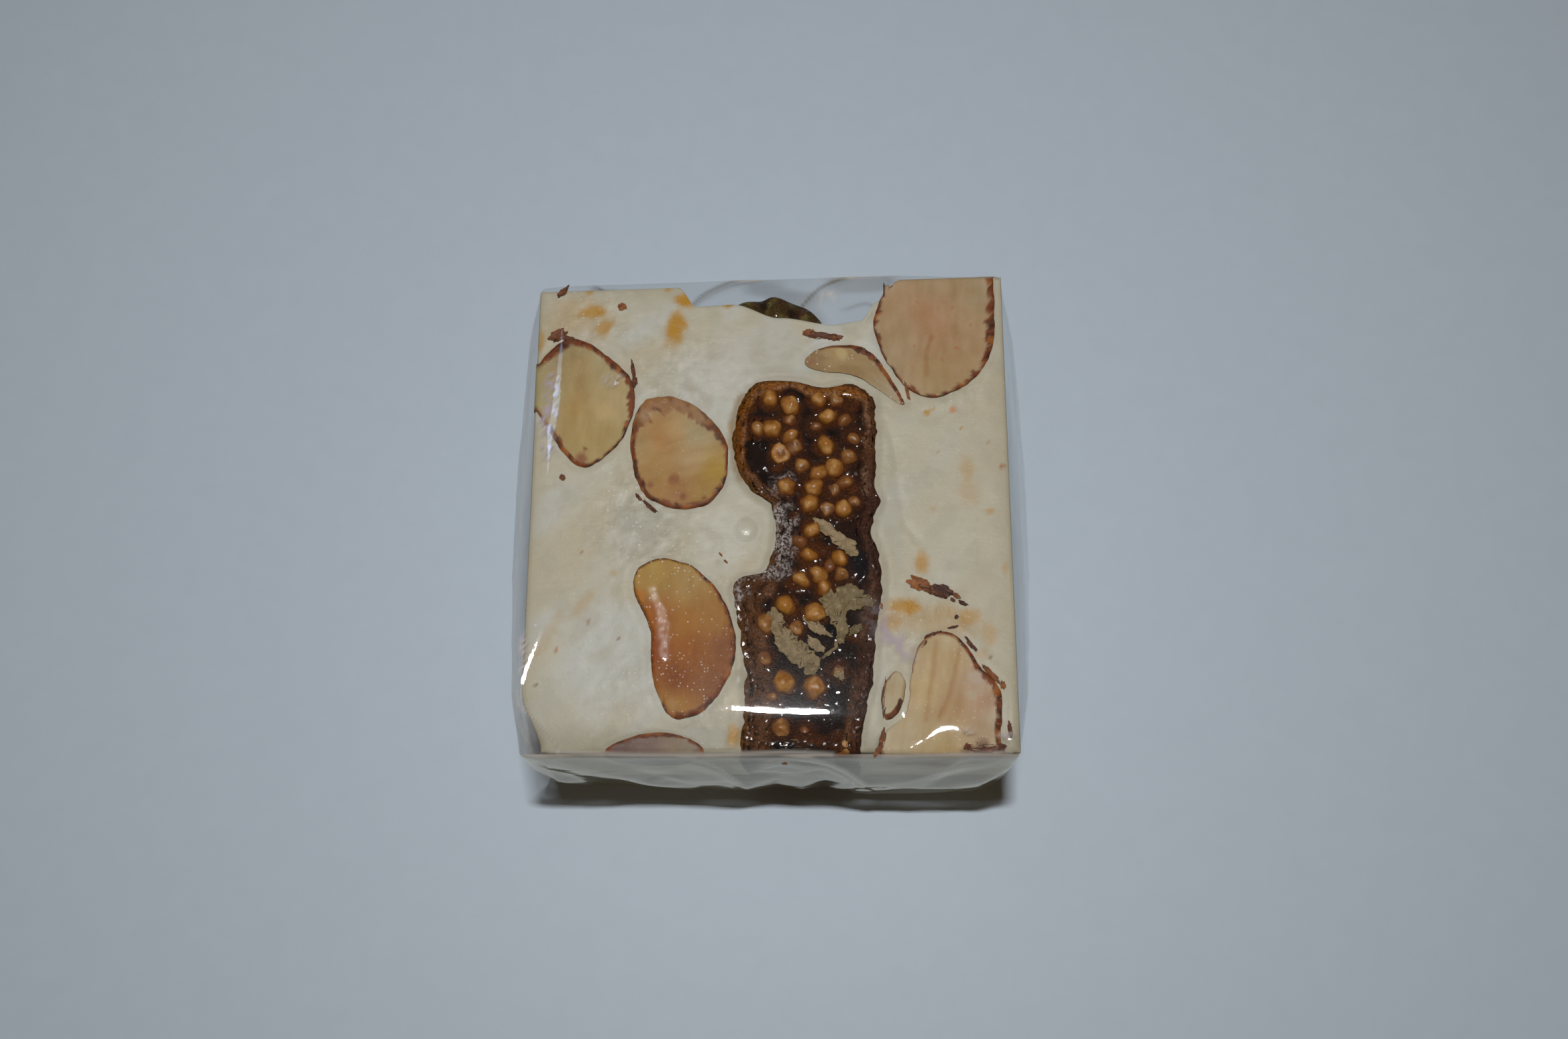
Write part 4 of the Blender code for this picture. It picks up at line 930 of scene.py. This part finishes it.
bits = {
    # x, y, length, width, turn, tone
    "skinBits": [(-21.9, 18.7, 2.0, 1.1, 25, 0.4), (-20.9, 18.3, 1.5, 0.7, -30, 0.3), (-14.1, 14.9, 0.4, 2.2, 8, 0.2),
                 (-13.9, 13.6, 0.5, 1.2, 0, 0.25), (-12.1, 0.4, 2.0, 0.4, -40, 0.2), (-13.2, 1.3, 1.0, 0.35, -55, 0.15),
                 (-20.9, 3.4, 0.7, 0.5, -30, 0.45), (-15.4, 21.9, 0.9, 0.8, 20, 0.95), (-21.7, 23.5, 1.6, 0.6, 50, 0.3),
                 (14.9, -7.6, 2.7, 1.3, -22, 0.95), (16.8, -8.4, 2.3, 1.2, -14, 0.02), (15.8, -8.2, 2.6, 0.7, -20, 0.25),
                 (18.3, -8.8, 0.8, 0.45, -40, 0.7), (18.9, -9.5, 0.9, 0.35, -30, 0.05), (17.9, -9.2, 0.5, 0.3, -30, 0.3),
                 (18.2, -10.9, 0.45, 0.35, 30, 0.05), (5.0, 18.75, 3.4, 0.8, -6, 0.2), (6.4, 18.5, 2.0, 0.7, -4, 0.35),
                 (3.9, 19.1, 1.2, 0.6, 15, 0.8), (13.9, 12.6, 0.35, 1.8, 12, 0.7), (10.75, -22.9, 0.55, 2.2, -12, 0.45),
                 (10.3, -24.0, 0.5, 1.2, -30, 0.6), (11.0, -19.0, 0.4, 3.8, -3, 0.3), (21.4, -16.5, 2.4, 0.5, -48, 0.75),
                 (22.5, -17.6, 0.8, 0.5, -70, 0.85), (23.0, -21.9, 0.4, 1.6, 5, 0.3), (-4.9, -4.6, 0.5, 0.16, -50, 0.9),
                 (-4.4, -5.3, 0.45, 0.18, -40, 0.85), (20.4, -23.7, 3.4, 0.8, 3, 0.15), (19.2, -23.4, 1.3, 0.6, 20, 0.3),
                 (22.0, -23.6, 1.2, 0.7, -15, 0.1), (10.9, -9.8, 0.3, 0.7, 0, 0.7),
                 (15.9, -12.6, 1.6, 0.35, 22, 0.15), (19.5, -13.6, 1.7, 0.4, -52, 0.1), (15.0, -13.6, 0.9, 0.3, 55, 0.2),
                 (17.9, -11.9, 1.0, 0.25, 10, 0.1)],
    "husks": [(5.3, -1.8, 2.4, 1.1, -40, 0.85), (6.9, -3.2, 3.4, 1.5, -46, 1.0), (8.1, -4.2, 1.3, 1.0, -30, 0.75),
              (6.2, -9.6, 2.2, 2.9, 15, 0.4), (6.6, -11.3, 1.9, 3.0, 8, 0.42), (6.9, -13.0, 1.0, 1.4, 0, 0.25),
              (7.8, -9.0, 2.9, 2.4, 12, 0.25), (9.3, -9.3, 1.9, 1.2, -10, 0.1), (4.3, -11.7, 3.0, 1.0, -35, 0.85),
              (5.1, -12.3, 1.0, 0.8, -20, 0.7), (0.6, -11.7, 1.6, 2.6, 14, 0.5), (1.7, -13.4, 3.6, 2.0, -46, 0.6),
              (3.1, -14.8, 3.2, 2.3, -36, 0.45), (4.0, -16.0, 1.3, 1.2, -20, 0.2), (4.4, -13.7, 1.9, 0.9, -40, 0.8),
              (5.7, -14.5, 2.0, 0.35, 35, 0.4), (6.4, -13.6, 0.4, 0.9, 10, 0.5), (8.3, -12.2, 1.7, 0.8, 30, 0.0),
              (2.3, -23.2, 1.8, 0.7, 5, 0.6), (3.5, -23.3, 0.4, 1.0, 12, 0.6), (6.7, -16.5, 0.9, 1.2, 20, 0.7)],
}


def shards(name, finish, spread, thick, jag, seed):
    bm = bmesh.new()
    random.seed(seed)
    tones = []
    for index, (x, y, length, width, turn, tone) in enumerate(spread):
        before = set(bm.verts)
        bmesh.ops.create_circle(bm, cap_ends=True, segments=44, radius=0.5)
        outline = [vert for vert in bm.verts if vert not in before]
        for vert in outline:
            way = Vector((vert.co.x, vert.co.y, index * 1.7))
            vert.co *= 1 + jag * (noise.noise(way * 2.4) + 0.8 * noise.noise(way * 6.5)) + 0.12 * (random.random() - 0.5)
        faces = [face for face in bm.faces if face.verts[0] not in before]
        bmesh.ops.extrude_face_region(bm, geom=faces)
        raised = {vert for face in faces for vert in face.verts}
        bmesh.ops.translate(bm, vec=(0, 0, 1), verts=list(raised))
        bmesh.ops.inset_region(bm, faces=faces, thickness=0.10, use_boundary=True)
        bmesh.ops.poke(bm, faces=faces)
        made = [vert for vert in bm.verts if vert not in before]
        bmesh.ops.scale(bm, vec=(length, width, thick), verts=made)
        for vert in made:
            if vert.co.z > thick * 0.5:
                vert.co.z += thick * (0.7 * noise.noise(vert.co * 1.3 + Vector((x, y, 0))) - (0.5 if vert in raised else 0))
        bmesh.ops.rotate(bm, cent=(0, 0, 0), matrix=Matrix.Rotation(math.radians(turn), 3, "Z"), verts=made)
        bmesh.ops.translate(bm, vec=(x, y, slab["top"] - 0.05), verts=made)
        tones += [tone] * len(made)
    return finishPiece(bm, name, finish, (), {"tone": np.array(tones)})


shards("skinBits", "skin", bits["skinBits"], 0.16, 0.4, 5)
shards("figHusks", "husk", bits["husks"], 0.20, 0.5, 6)
print("bits made")


# ---- the film

film = {
    "gap": 0.85, "edge": 0.6, "lie": 0.38, "sideSwell": 1.6, "backGap": 0.45, "backSwell": 0.4, "seamAt": -4,
    # how far the front stands off the nougat near its foot, along x
    "front": [(-25, 0.5), (-24, 0.9), (-22, 1.35), (-18, 1.5), (-12, 1.6), (-8, 1.85), (-4, 2.05), (-2, 2.05), (0.7, 1.6), (3.2, 2.0),
              (5.7, 1.6), (8.5, 2.1), (13.9, 2.3), (16.4, 2.3), (21, 2.2), (23.5, 1.7), (25, 0.9)],
    # how far each upright corner is drawn in
    "corner": 0.9,
    # where the top starts to fall: the line along x or y, how steep it gets, and over what width it bends
    "frontBend": ([(-27, -20.3), (-3.5, -20.25), (1, -20.55), (6.4, -20.6), (27, -20.6)], 0.062, 0.26),
    "leftBend": ([(-27, -22.9), (4, -22.4), (8, -22.3), (11, -21.75), (15, -21.55), (27, -21.4)], 0.14, 0.36),
    "rightBend": {"line": [(13.2, -24.0), (14, -23.5), (15.3, -22.75), (16.4, -22.3), (17.6, -22.2), (20, -22.3), (27, -22.5)],
                  "width": [(13, 0.12), (14.2, 0.15), (15.3, 0.35), (16.4, 0.85), (17.4, 0.75), (18.4, 0.25), (20, 0.1)],
                  "steep": 0.13, "lean": 0.045, "from": -20.0},
    "tent": {"across": [(13.2, 0), (14.2, 0.06), (16.3, 0.36), (17.5, 0.46), (18.6, 0.48), (24.6, 0)], "behind": -18.0, "ahead": -21.5},
    # low pleats of the top: line, height, reach on both sides, width of the crown
    "pleats": [([(-24.5, -19.3), (-24.3, -17.6), (-23.8, -15.6), (-22.6, -12.2)], 0.13, 0.7, 0.22),
               ([(-24.5, -18.2), (-22.6, -21.2), (-20.2, -24.4)], 0.03, 0.6, 0.15),
               ([(22.4, -24.2), (23.4, -22.9), (24.2, -22.6)], 0.14, 0.7, 0.2)],
    # milky patches painted on the top in place of the window's glare (painted reflection): x, y, half width, half
    # length, strength, how violet
    "glare": [(-22.3, 11.8, 1.3, 4.6, 0.75, 0.6), (-22.4, 6.6, 1.0, 2.2, 0.8, 0.6), (-23.0, 8.9, 0.8, 1.8, 0.5, 0.5),
              (-16.1, 13.7, 1.3, 1.0, 0.8, 0.1), (-24.0, -14.6, 0.6, 3.0, 0.8, 0.3), (-1.6, -19.8, 2.8, 0.6, 0.08, 0.3),
              (4.2, -19.8, 3.6, 0.6, 0.08, 0.3), (18.9, -22.1, 1.6, 0.4, 0.6, 0.0), (5.8, 22.8, 1.4, 0.9, 0.9, 0.1),
              (22.6, -22.6, 1.3, 0.6, 0.6, 0.2)],
    # thin milky lines where the top is creased, also standing in for the creases' highlights (painted highlight): line,
    # half width, strength
    "lines": [([(-24.4, -19.4), (-22.9, -20.6), (-21.8, -21.8), (-20.8, -22.9), (-20.0, -24.4)], 0.11, 0.35),
              ([(-24.6, -18.3), (-23.8, -19.8), (-23.4, -22.2), (-22.6, -24.4)], 0.14, 0.2),
              ([(-21.0, -24.0), (-17, -24.15), (-13, -24.3), (-8, -24.3), (-2, -24.2), (2, -24.1), (6, -24.3)], 0.20, 0.6),
              ([(11, -24.5), (16, -24.4), (20, -24.25), (23, -24.1)], 0.18, 0.45),
              ([(-24.1, -20.5), (-24.3, -17.0), (-23.6, -13.5)], 0.12, 0.25)],
    # small rises of the top: x, y, radius, rise
    "pimples": [(-15.2, 13.4, 0.6, 0.11), (-10.5, -14.9, 0.4, 0.06), (23.2, -22.9, 0.3, 0.08), (-15.9, 14.6, 0.5, 0.05)],
    # folds of the ends, as lines of x and height: how proud, how far up and down each reaches, how dark the painted
    # shade line under it is
    "folds": [([(1.7, 20), (4.4, 18.6), (7.1, 15.6), (10.2, 10.5), (14.6, 12.5), (18.2, 18.6)], 0.32, 5.0, 3.5, 0.75),
              ([(1.7, 19.2), (4.6, 17.6), (7.4, 14.4), (9.4, 10.5), (11.4, 9.4)], -0.12, 1.2, 1.2, 0.5),
              ([(-8.4, 19.6), (-6.1, 17.6), (-4.6, 15), (-2.5, 8.5)], 0.22, 4.0, 4.0, 0.8),
              ([(-22.4, 19.4), (-18.4, 15.6), (-15, 11.5), (-11.6, 7.4), (-8.0, 4.5)], 0.30, 5.0, 5.0, 0.7),
              ([(-12.0, 9.4), (-10.4, 11.6), (-8.2, 10.2)], 0.10, 1.6, 1.6, 0.4),
              ([(6.0, 3.4), (8.5, 8.6), (9.8, 10.6)], 0.16, 2.4, 2.4, 0.3),
              ([(8.5, 3.0), (11.1, 5.0), (14.6, 8.0), (20, 11.4), (23.5, 16)], 0.30, 4.0, 4.5, 0.25),
              ([(-1.2, 15.5), (1.0, 16.9), (3.8, 15.7)], 0.08, 1.0, 0.8, 0.7), ([(-1.2, 15.3), (1.2, 14.4), (3.8, 15.5)], 0.08, 0.8, 1.0, 0.7),
              ([(-24.5, 15), (-22.4, 10), (-19, 5)], 0.24, 4.0, 4.0, 0.2), ([(16, 16.5), (20, 17.4), (24, 19)], 0.12, 1.6, 1.6, 0.4)],
}


def crumple(places, size, seed):  # sharp ridges with slack between them, from 0 to 1
    first = 1 - np.abs(grain(places, size, seed)) * 2.2
    second = 1 - np.abs(grain(places[:, ::-1], size * 0.55, seed + 1)) * 2.2
    return np.clip(first, 0, 1) ** 3 * 0.65 + np.clip(second, 0, 1) ** 3 * 0.35


def bend(past, steep, width):  # level before the line, then an even fall
    return -steep * width * np.logaddexp(0, past / width)


def filmTop(x, y):  # how the top of the film departs from flat
    places = np.column_stack([x, y, 0 * x])
    lift = 0.02 * grain(places, 11, 21)
    right = smoothStep(x, 12.85, 13.1)
    line, steep, width = film["frontBend"]
    lift += bend(np.interp(x, *zip(*line)) - y, steep * (1 - smoothStep(x, 12.85, 13.1)), width)
    line, steep, width = film["leftBend"]
    lift += bend(np.interp(y, *zip(*line)) - x, steep * smoothStep(y, -10, 2), width)
    ridge = film["rightBend"]
    past = np.interp(x, *zip(*ridge["line"])) - y
    lift += bend(past, ridge["steep"], np.interp(x, *zip(*ridge["width"]))) * right
    lift -= bend(ridge["from"] - y, ridge["lean"], 0.4) * right * (1 - smoothStep(x, 18.4, 24.4))
    tent = film["tent"]
    lift += np.interp(x, *zip(*tent["across"])) * (1 - smoothStep(y, tent["ahead"], tent["behind"]))
    for line, height, reach, crown in film["pleats"]:
        away = distanceToPath(places[:, :2], curveThrough(line, 6, False))
        lift += height * np.clip(1 - np.sqrt(away**2 + crown**2) / reach, 0, 1)
    for x0, y0, radius, rise in film["pimples"]:
        lift += rise * np.exp(-((x - x0) ** 2 + (y - y0) ** 2) / radius**2)
    return lift


def filmEnd(across, up, seed, folds):  # how far an end of the film stands proud, where its folds get a painted shade line under them, and a milky line over them in place of the fold's highlight (painted highlight)
    out = 0.10 * grain(across, 4.0, seed) + 0.04 * crumple(across * [0.5, 1, 1], 3.0, seed + 3)
    dark, light = np.zeros((2, len(out)))
    for line, proud, above, below, strength in folds:
        path = curveThrough(line, 8, False)
        over = across[:, 1] - np.interp(across[:, 0], path[:, 0], path[:, 1])
        ends = smoothStep(across[:, 0], path[0, 0] - 1.2, path[0, 0] + 0.4)
        ends *= 1 - smoothStep(across[:, 0], path[-1, 0] - 0.4, path[-1, 0] + 1.2)
        tent = np.clip(1 - np.where(over > 0, over / above, -over / below), 0, 1)
        out += proud * tent * ends
        worn = 0.55 + 0.45 * smoothStep(grain(across, 2.4, seed + 11), -0.3, 0.2)
        dark = np.maximum(dark, strength * worn * np.exp(-((over + 0.8) / 0.55) ** 2) * ends)
        light = np.maximum(light, strength * np.exp(-((over - 0.5) / 0.6) ** 2) * ends)
    return out * np.sin(math.pi * up) ** 0.5, dark, light


def filmPiece():
    bm = boxOfFaces(160, 140, 60)
    unit = placesOf(bm)
    rows = (unit[:, 1] + 1) / 2
    unit[:, 1] = 2 * (rows + 0.42 * (rows**2 - rows)) - 1
    half, top, edge = slab["side"] + film["gap"], slab["top"] + film["lie"], film["edge"]
    up = towardsEnds(unit[:, 2], 0.45)
    straight = np.column_stack([unit[:, 0] * half, unit[:, 1] * half, up * top])
    inner = np.column_stack([np.clip(straight[:, 0], -half + edge, half - edge),
                             np.clip(straight[:, 1], -half + edge, half - edge),
                             np.clip(straight[:, 2], edge * 0.6, top - edge)])
    way = straight - inner
    way[:, 2] *= np.where(way[:, 2] < 0, 1 / 0.6, 1)
    way *= edge / np.maximum(np.linalg.norm(way, axis=1)[:, None], 1e-6)
    way[:, 2] *= np.where(way[:, 2] < 0, 0.6, 1)
    places = inner + way
    swell = np.sin(math.pi * np.clip(up, 0, 1) ** 0.6)
    stand = 0.4 + (np.interp(places[:, 0], *zip(*film["front"])) - 0.4) * swell
    front = slab["front"] - stand
    back = backAt(np.clip(places[:, 0], -24, 24)) + film["backGap"] + film["backSwell"] * (1 - unit[:, 0] ** 2) * np.sin(math.pi * up)
    places[:, 0] += film["sideSwell"] * (1 - unit[:, 1] ** 2) * np.sin(math.pi * up**1.5) * np.sign(unit[:, 0]) * unit[:, 0] ** 12
    back -= 0.45 * smoothStep(places[:, 0], 12, 22)
    places[:, 1] = front + (back - front) * (places[:, 1] / half + 1) / 2
    pull = smoothStep(np.abs(places[:, 1]), 17.5, 24.8) * smoothStep(np.abs(places[:, 0]), 21, 24)
    places[:, 0] -= film["corner"] * pull * np.sign(places[:, 0])
    x, y, z = places.T
    onTop, atFront, atBack = up > 0.999, unit[:, 1] < -0.999, unit[:, 1] > 0.999
    z = z + filmTop(x, y) * up**4
    layers, folded, crease = np.zeros((3, len(places)))
    for side, seed, facing, folds in ((atFront, 31, 1, film["folds"]), (atBack, 41, -1, film["folds"][:7])):
        across = np.column_stack([x[side] * facing, z[side], 0 * x[side]])
        out, dark, light = filmEnd(across, up[side], seed, folds)
        y[side] -= facing * out * (1.0 if facing == 1 else 0.6)
        folded[side] = 1.0 if facing == 1 else 0.1
        # painted shade along the fold lines, and a faint dark tint over the whole front end
        crease[side] = np.maximum(dark * 1.2, 0.06) * (1.0 if facing == 1 else 0.12)
        cloud = 0.03 + 0.30 * smoothStep(grain(across * [0.4, 0.5, 1], 3.0, seed + 7), -0.15, 0.2)
        # painted highlight: a milky band along the top of the front end
        rim = 0.3 * smoothStep(up[side], 0.88, 0.96) if facing == 1 else 0
        layers[side] = (cloud + 0.75 * light + rim) * smoothStep(up[side], 0, 0.2)
    sides = np.abs(unit[:, 0]) > 0.999
    along = np.column_stack([0 * y[sides], y[sides] / 3, z[sides]])
    ripple = 0.20 * crumple(along, 2.6, 51) + 0.12 * grain(along, 1.6, 52)
    x[sides] += np.sign(unit[sides, 0]) * ripple * np.sin(math.pi * up[sides]) ** 0.5 * 0.6
    layers[sides] += 0.04 * crumple(along, 2.6, 51) + 0.14 * (x[sides] < 0)
    gathered = smoothStep(-x, 20.5, 23.5) * smoothStep(-y, 16.5, 20.5)
    layers += gathered * (0.10 + 0.10 * grain(places, 1.6, 62)) * smoothStep(up, 0, 0.5)
    sheen = np.where(onTop, np.exp(-(np.hypot((x - 11.9 + 0.6 * (y + 13)) / 1.4, (y + 13.0) / 2.6)) ** 2), 0)
    sheen *= smoothStep(grain(places, 0.8, 61), -0.5, 0.2)
    layers += 0.45 * sheen
    for x0, y0, wide, deep, strength, violet in film["glare"]:
        near = np.hypot((x - x0) / wide, (y - y0) / deep) + 0.35 * grain(places, 0.7, 63)
        near = (1 - smoothStep(near, 0.3, 1.0)) * onTop * smoothStep(grain(places, 0.35, 64), -0.4, 0.4)
        layers += strength * near
        sheen = np.maximum(sheen, violet * near)
    for line, width, strength in film["lines"]:
        near = distanceToPath(np.column_stack([x, y]), curveThrough(line, 8, False))
        layers += strength * np.exp(-(near / width) ** 2) * (up > 0.9)
    below = unit[:, 2] < 0.001
    seam = np.abs(x - film["seamAt"])
    layers += np.where(below, 0.25 + 0.35 * (1 - smoothStep(seam, 4.5, 4.8)), 0)
    z = z + np.where(below, 0.10 * (1 - smoothStep(seam, 4.5, 4.8)) * (0.6 + 0.4 * np.sin(y * 5)), 0)
    places = np.clip(np.column_stack([x, y, z]), filmLow, np.array(filmHigh) + [0, 0, 0.3])
    moveTo(bm, places)
    return finishPiece(bm, "filmWrap", "film", ("film_wrap",), {
        "layers": np.clip(layers, 0, 0.85), "sheen": np.clip(sheen * 1.5, 0, 1), "folded": folded, "crease": crease})


filmPiece()
print("film made")


# ---- floor, light and camera

def floorFinish():
    finish = Finish("paleTable")
    speck = finish.noise(3.0, 4)
    colour = finish.mix(speck, (*asLit(157, 169, 180), 1), (*asLit(162, 174, 185), 1))
    shader = finish.node("ShaderNodeBsdfPrincipled", {}, {"Base Color": colour, "Roughness": 0.55})
    return finish.close(shader)


def stageSet():
    bm = bmesh.new()
    bmesh.ops.create_grid(bm, x_segments=4, y_segments=4, size=1.5)
    mesh = bpy.data.meshes.new("floor")
    bm.to_mesh(mesh)
    bm.free()
    mesh.materials.append(floorFinish())
    floor = bpy.data.objects.new("floor", mesh)
    bpy.context.scene.collection.objects.link(floor)


def areaLight(name, place, size, power, colour, target=(0, 0, 0.01)):
    lamp = bpy.data.lights.new(name, "AREA")
    lamp.shape, lamp.size, lamp.size_y = "RECTANGLE", *size
    lamp.energy, lamp.color = power, colour
    holder = bpy.data.objects.new(name, lamp)
    holder.location = place
    holder.rotation_euler = (Vector(target) - Vector(place)).to_track_quat("-Z", "Y").to_euler()
    bpy.context.scene.collection.objects.link(holder)


def cameraSet():
    lens = bpy.data.cameras.new("camera")
    lens.lens, lens.sensor_width, lens.clip_start = 35.0, 36.0, 0.005
    camera = bpy.data.objects.new("camera", lens)
    target = Vector((0.00135, -0.0010, 0.020))
    camera.location = Vector((0.00135, -0.04256, 0.16590))
    camera.rotation_euler = (target - camera.location).to_track_quat("-Z", "Y").to_euler()
    bpy.context.scene.collection.objects.link(camera)
    bpy.context.scene.camera = camera


def skySet():
    world = bpy.data.worlds.new("room")
    world.use_nodes = True
    world.node_tree.nodes["Background"].inputs["Color"].default_value = (1.0, 0.64, 0.31, 1)
    world.node_tree.nodes["Background"].inputs["Strength"].default_value = 0.055
    bpy.context.scene.world = world


stageSet()
areaLight("key", (0.0006, 0.0145, 0.300), (0.027, 0.009), 0.54, (0.985, 0.985, 0.985))
areaLight("window", (-0.129, 0.148, 0.377), (0.036, 0.044), 0.017, (0.52, 0.70, 1.0))
skySet()
cameraSet()
bpy.context.scene.view_settings.view_transform = "Standard"
print("stage made")
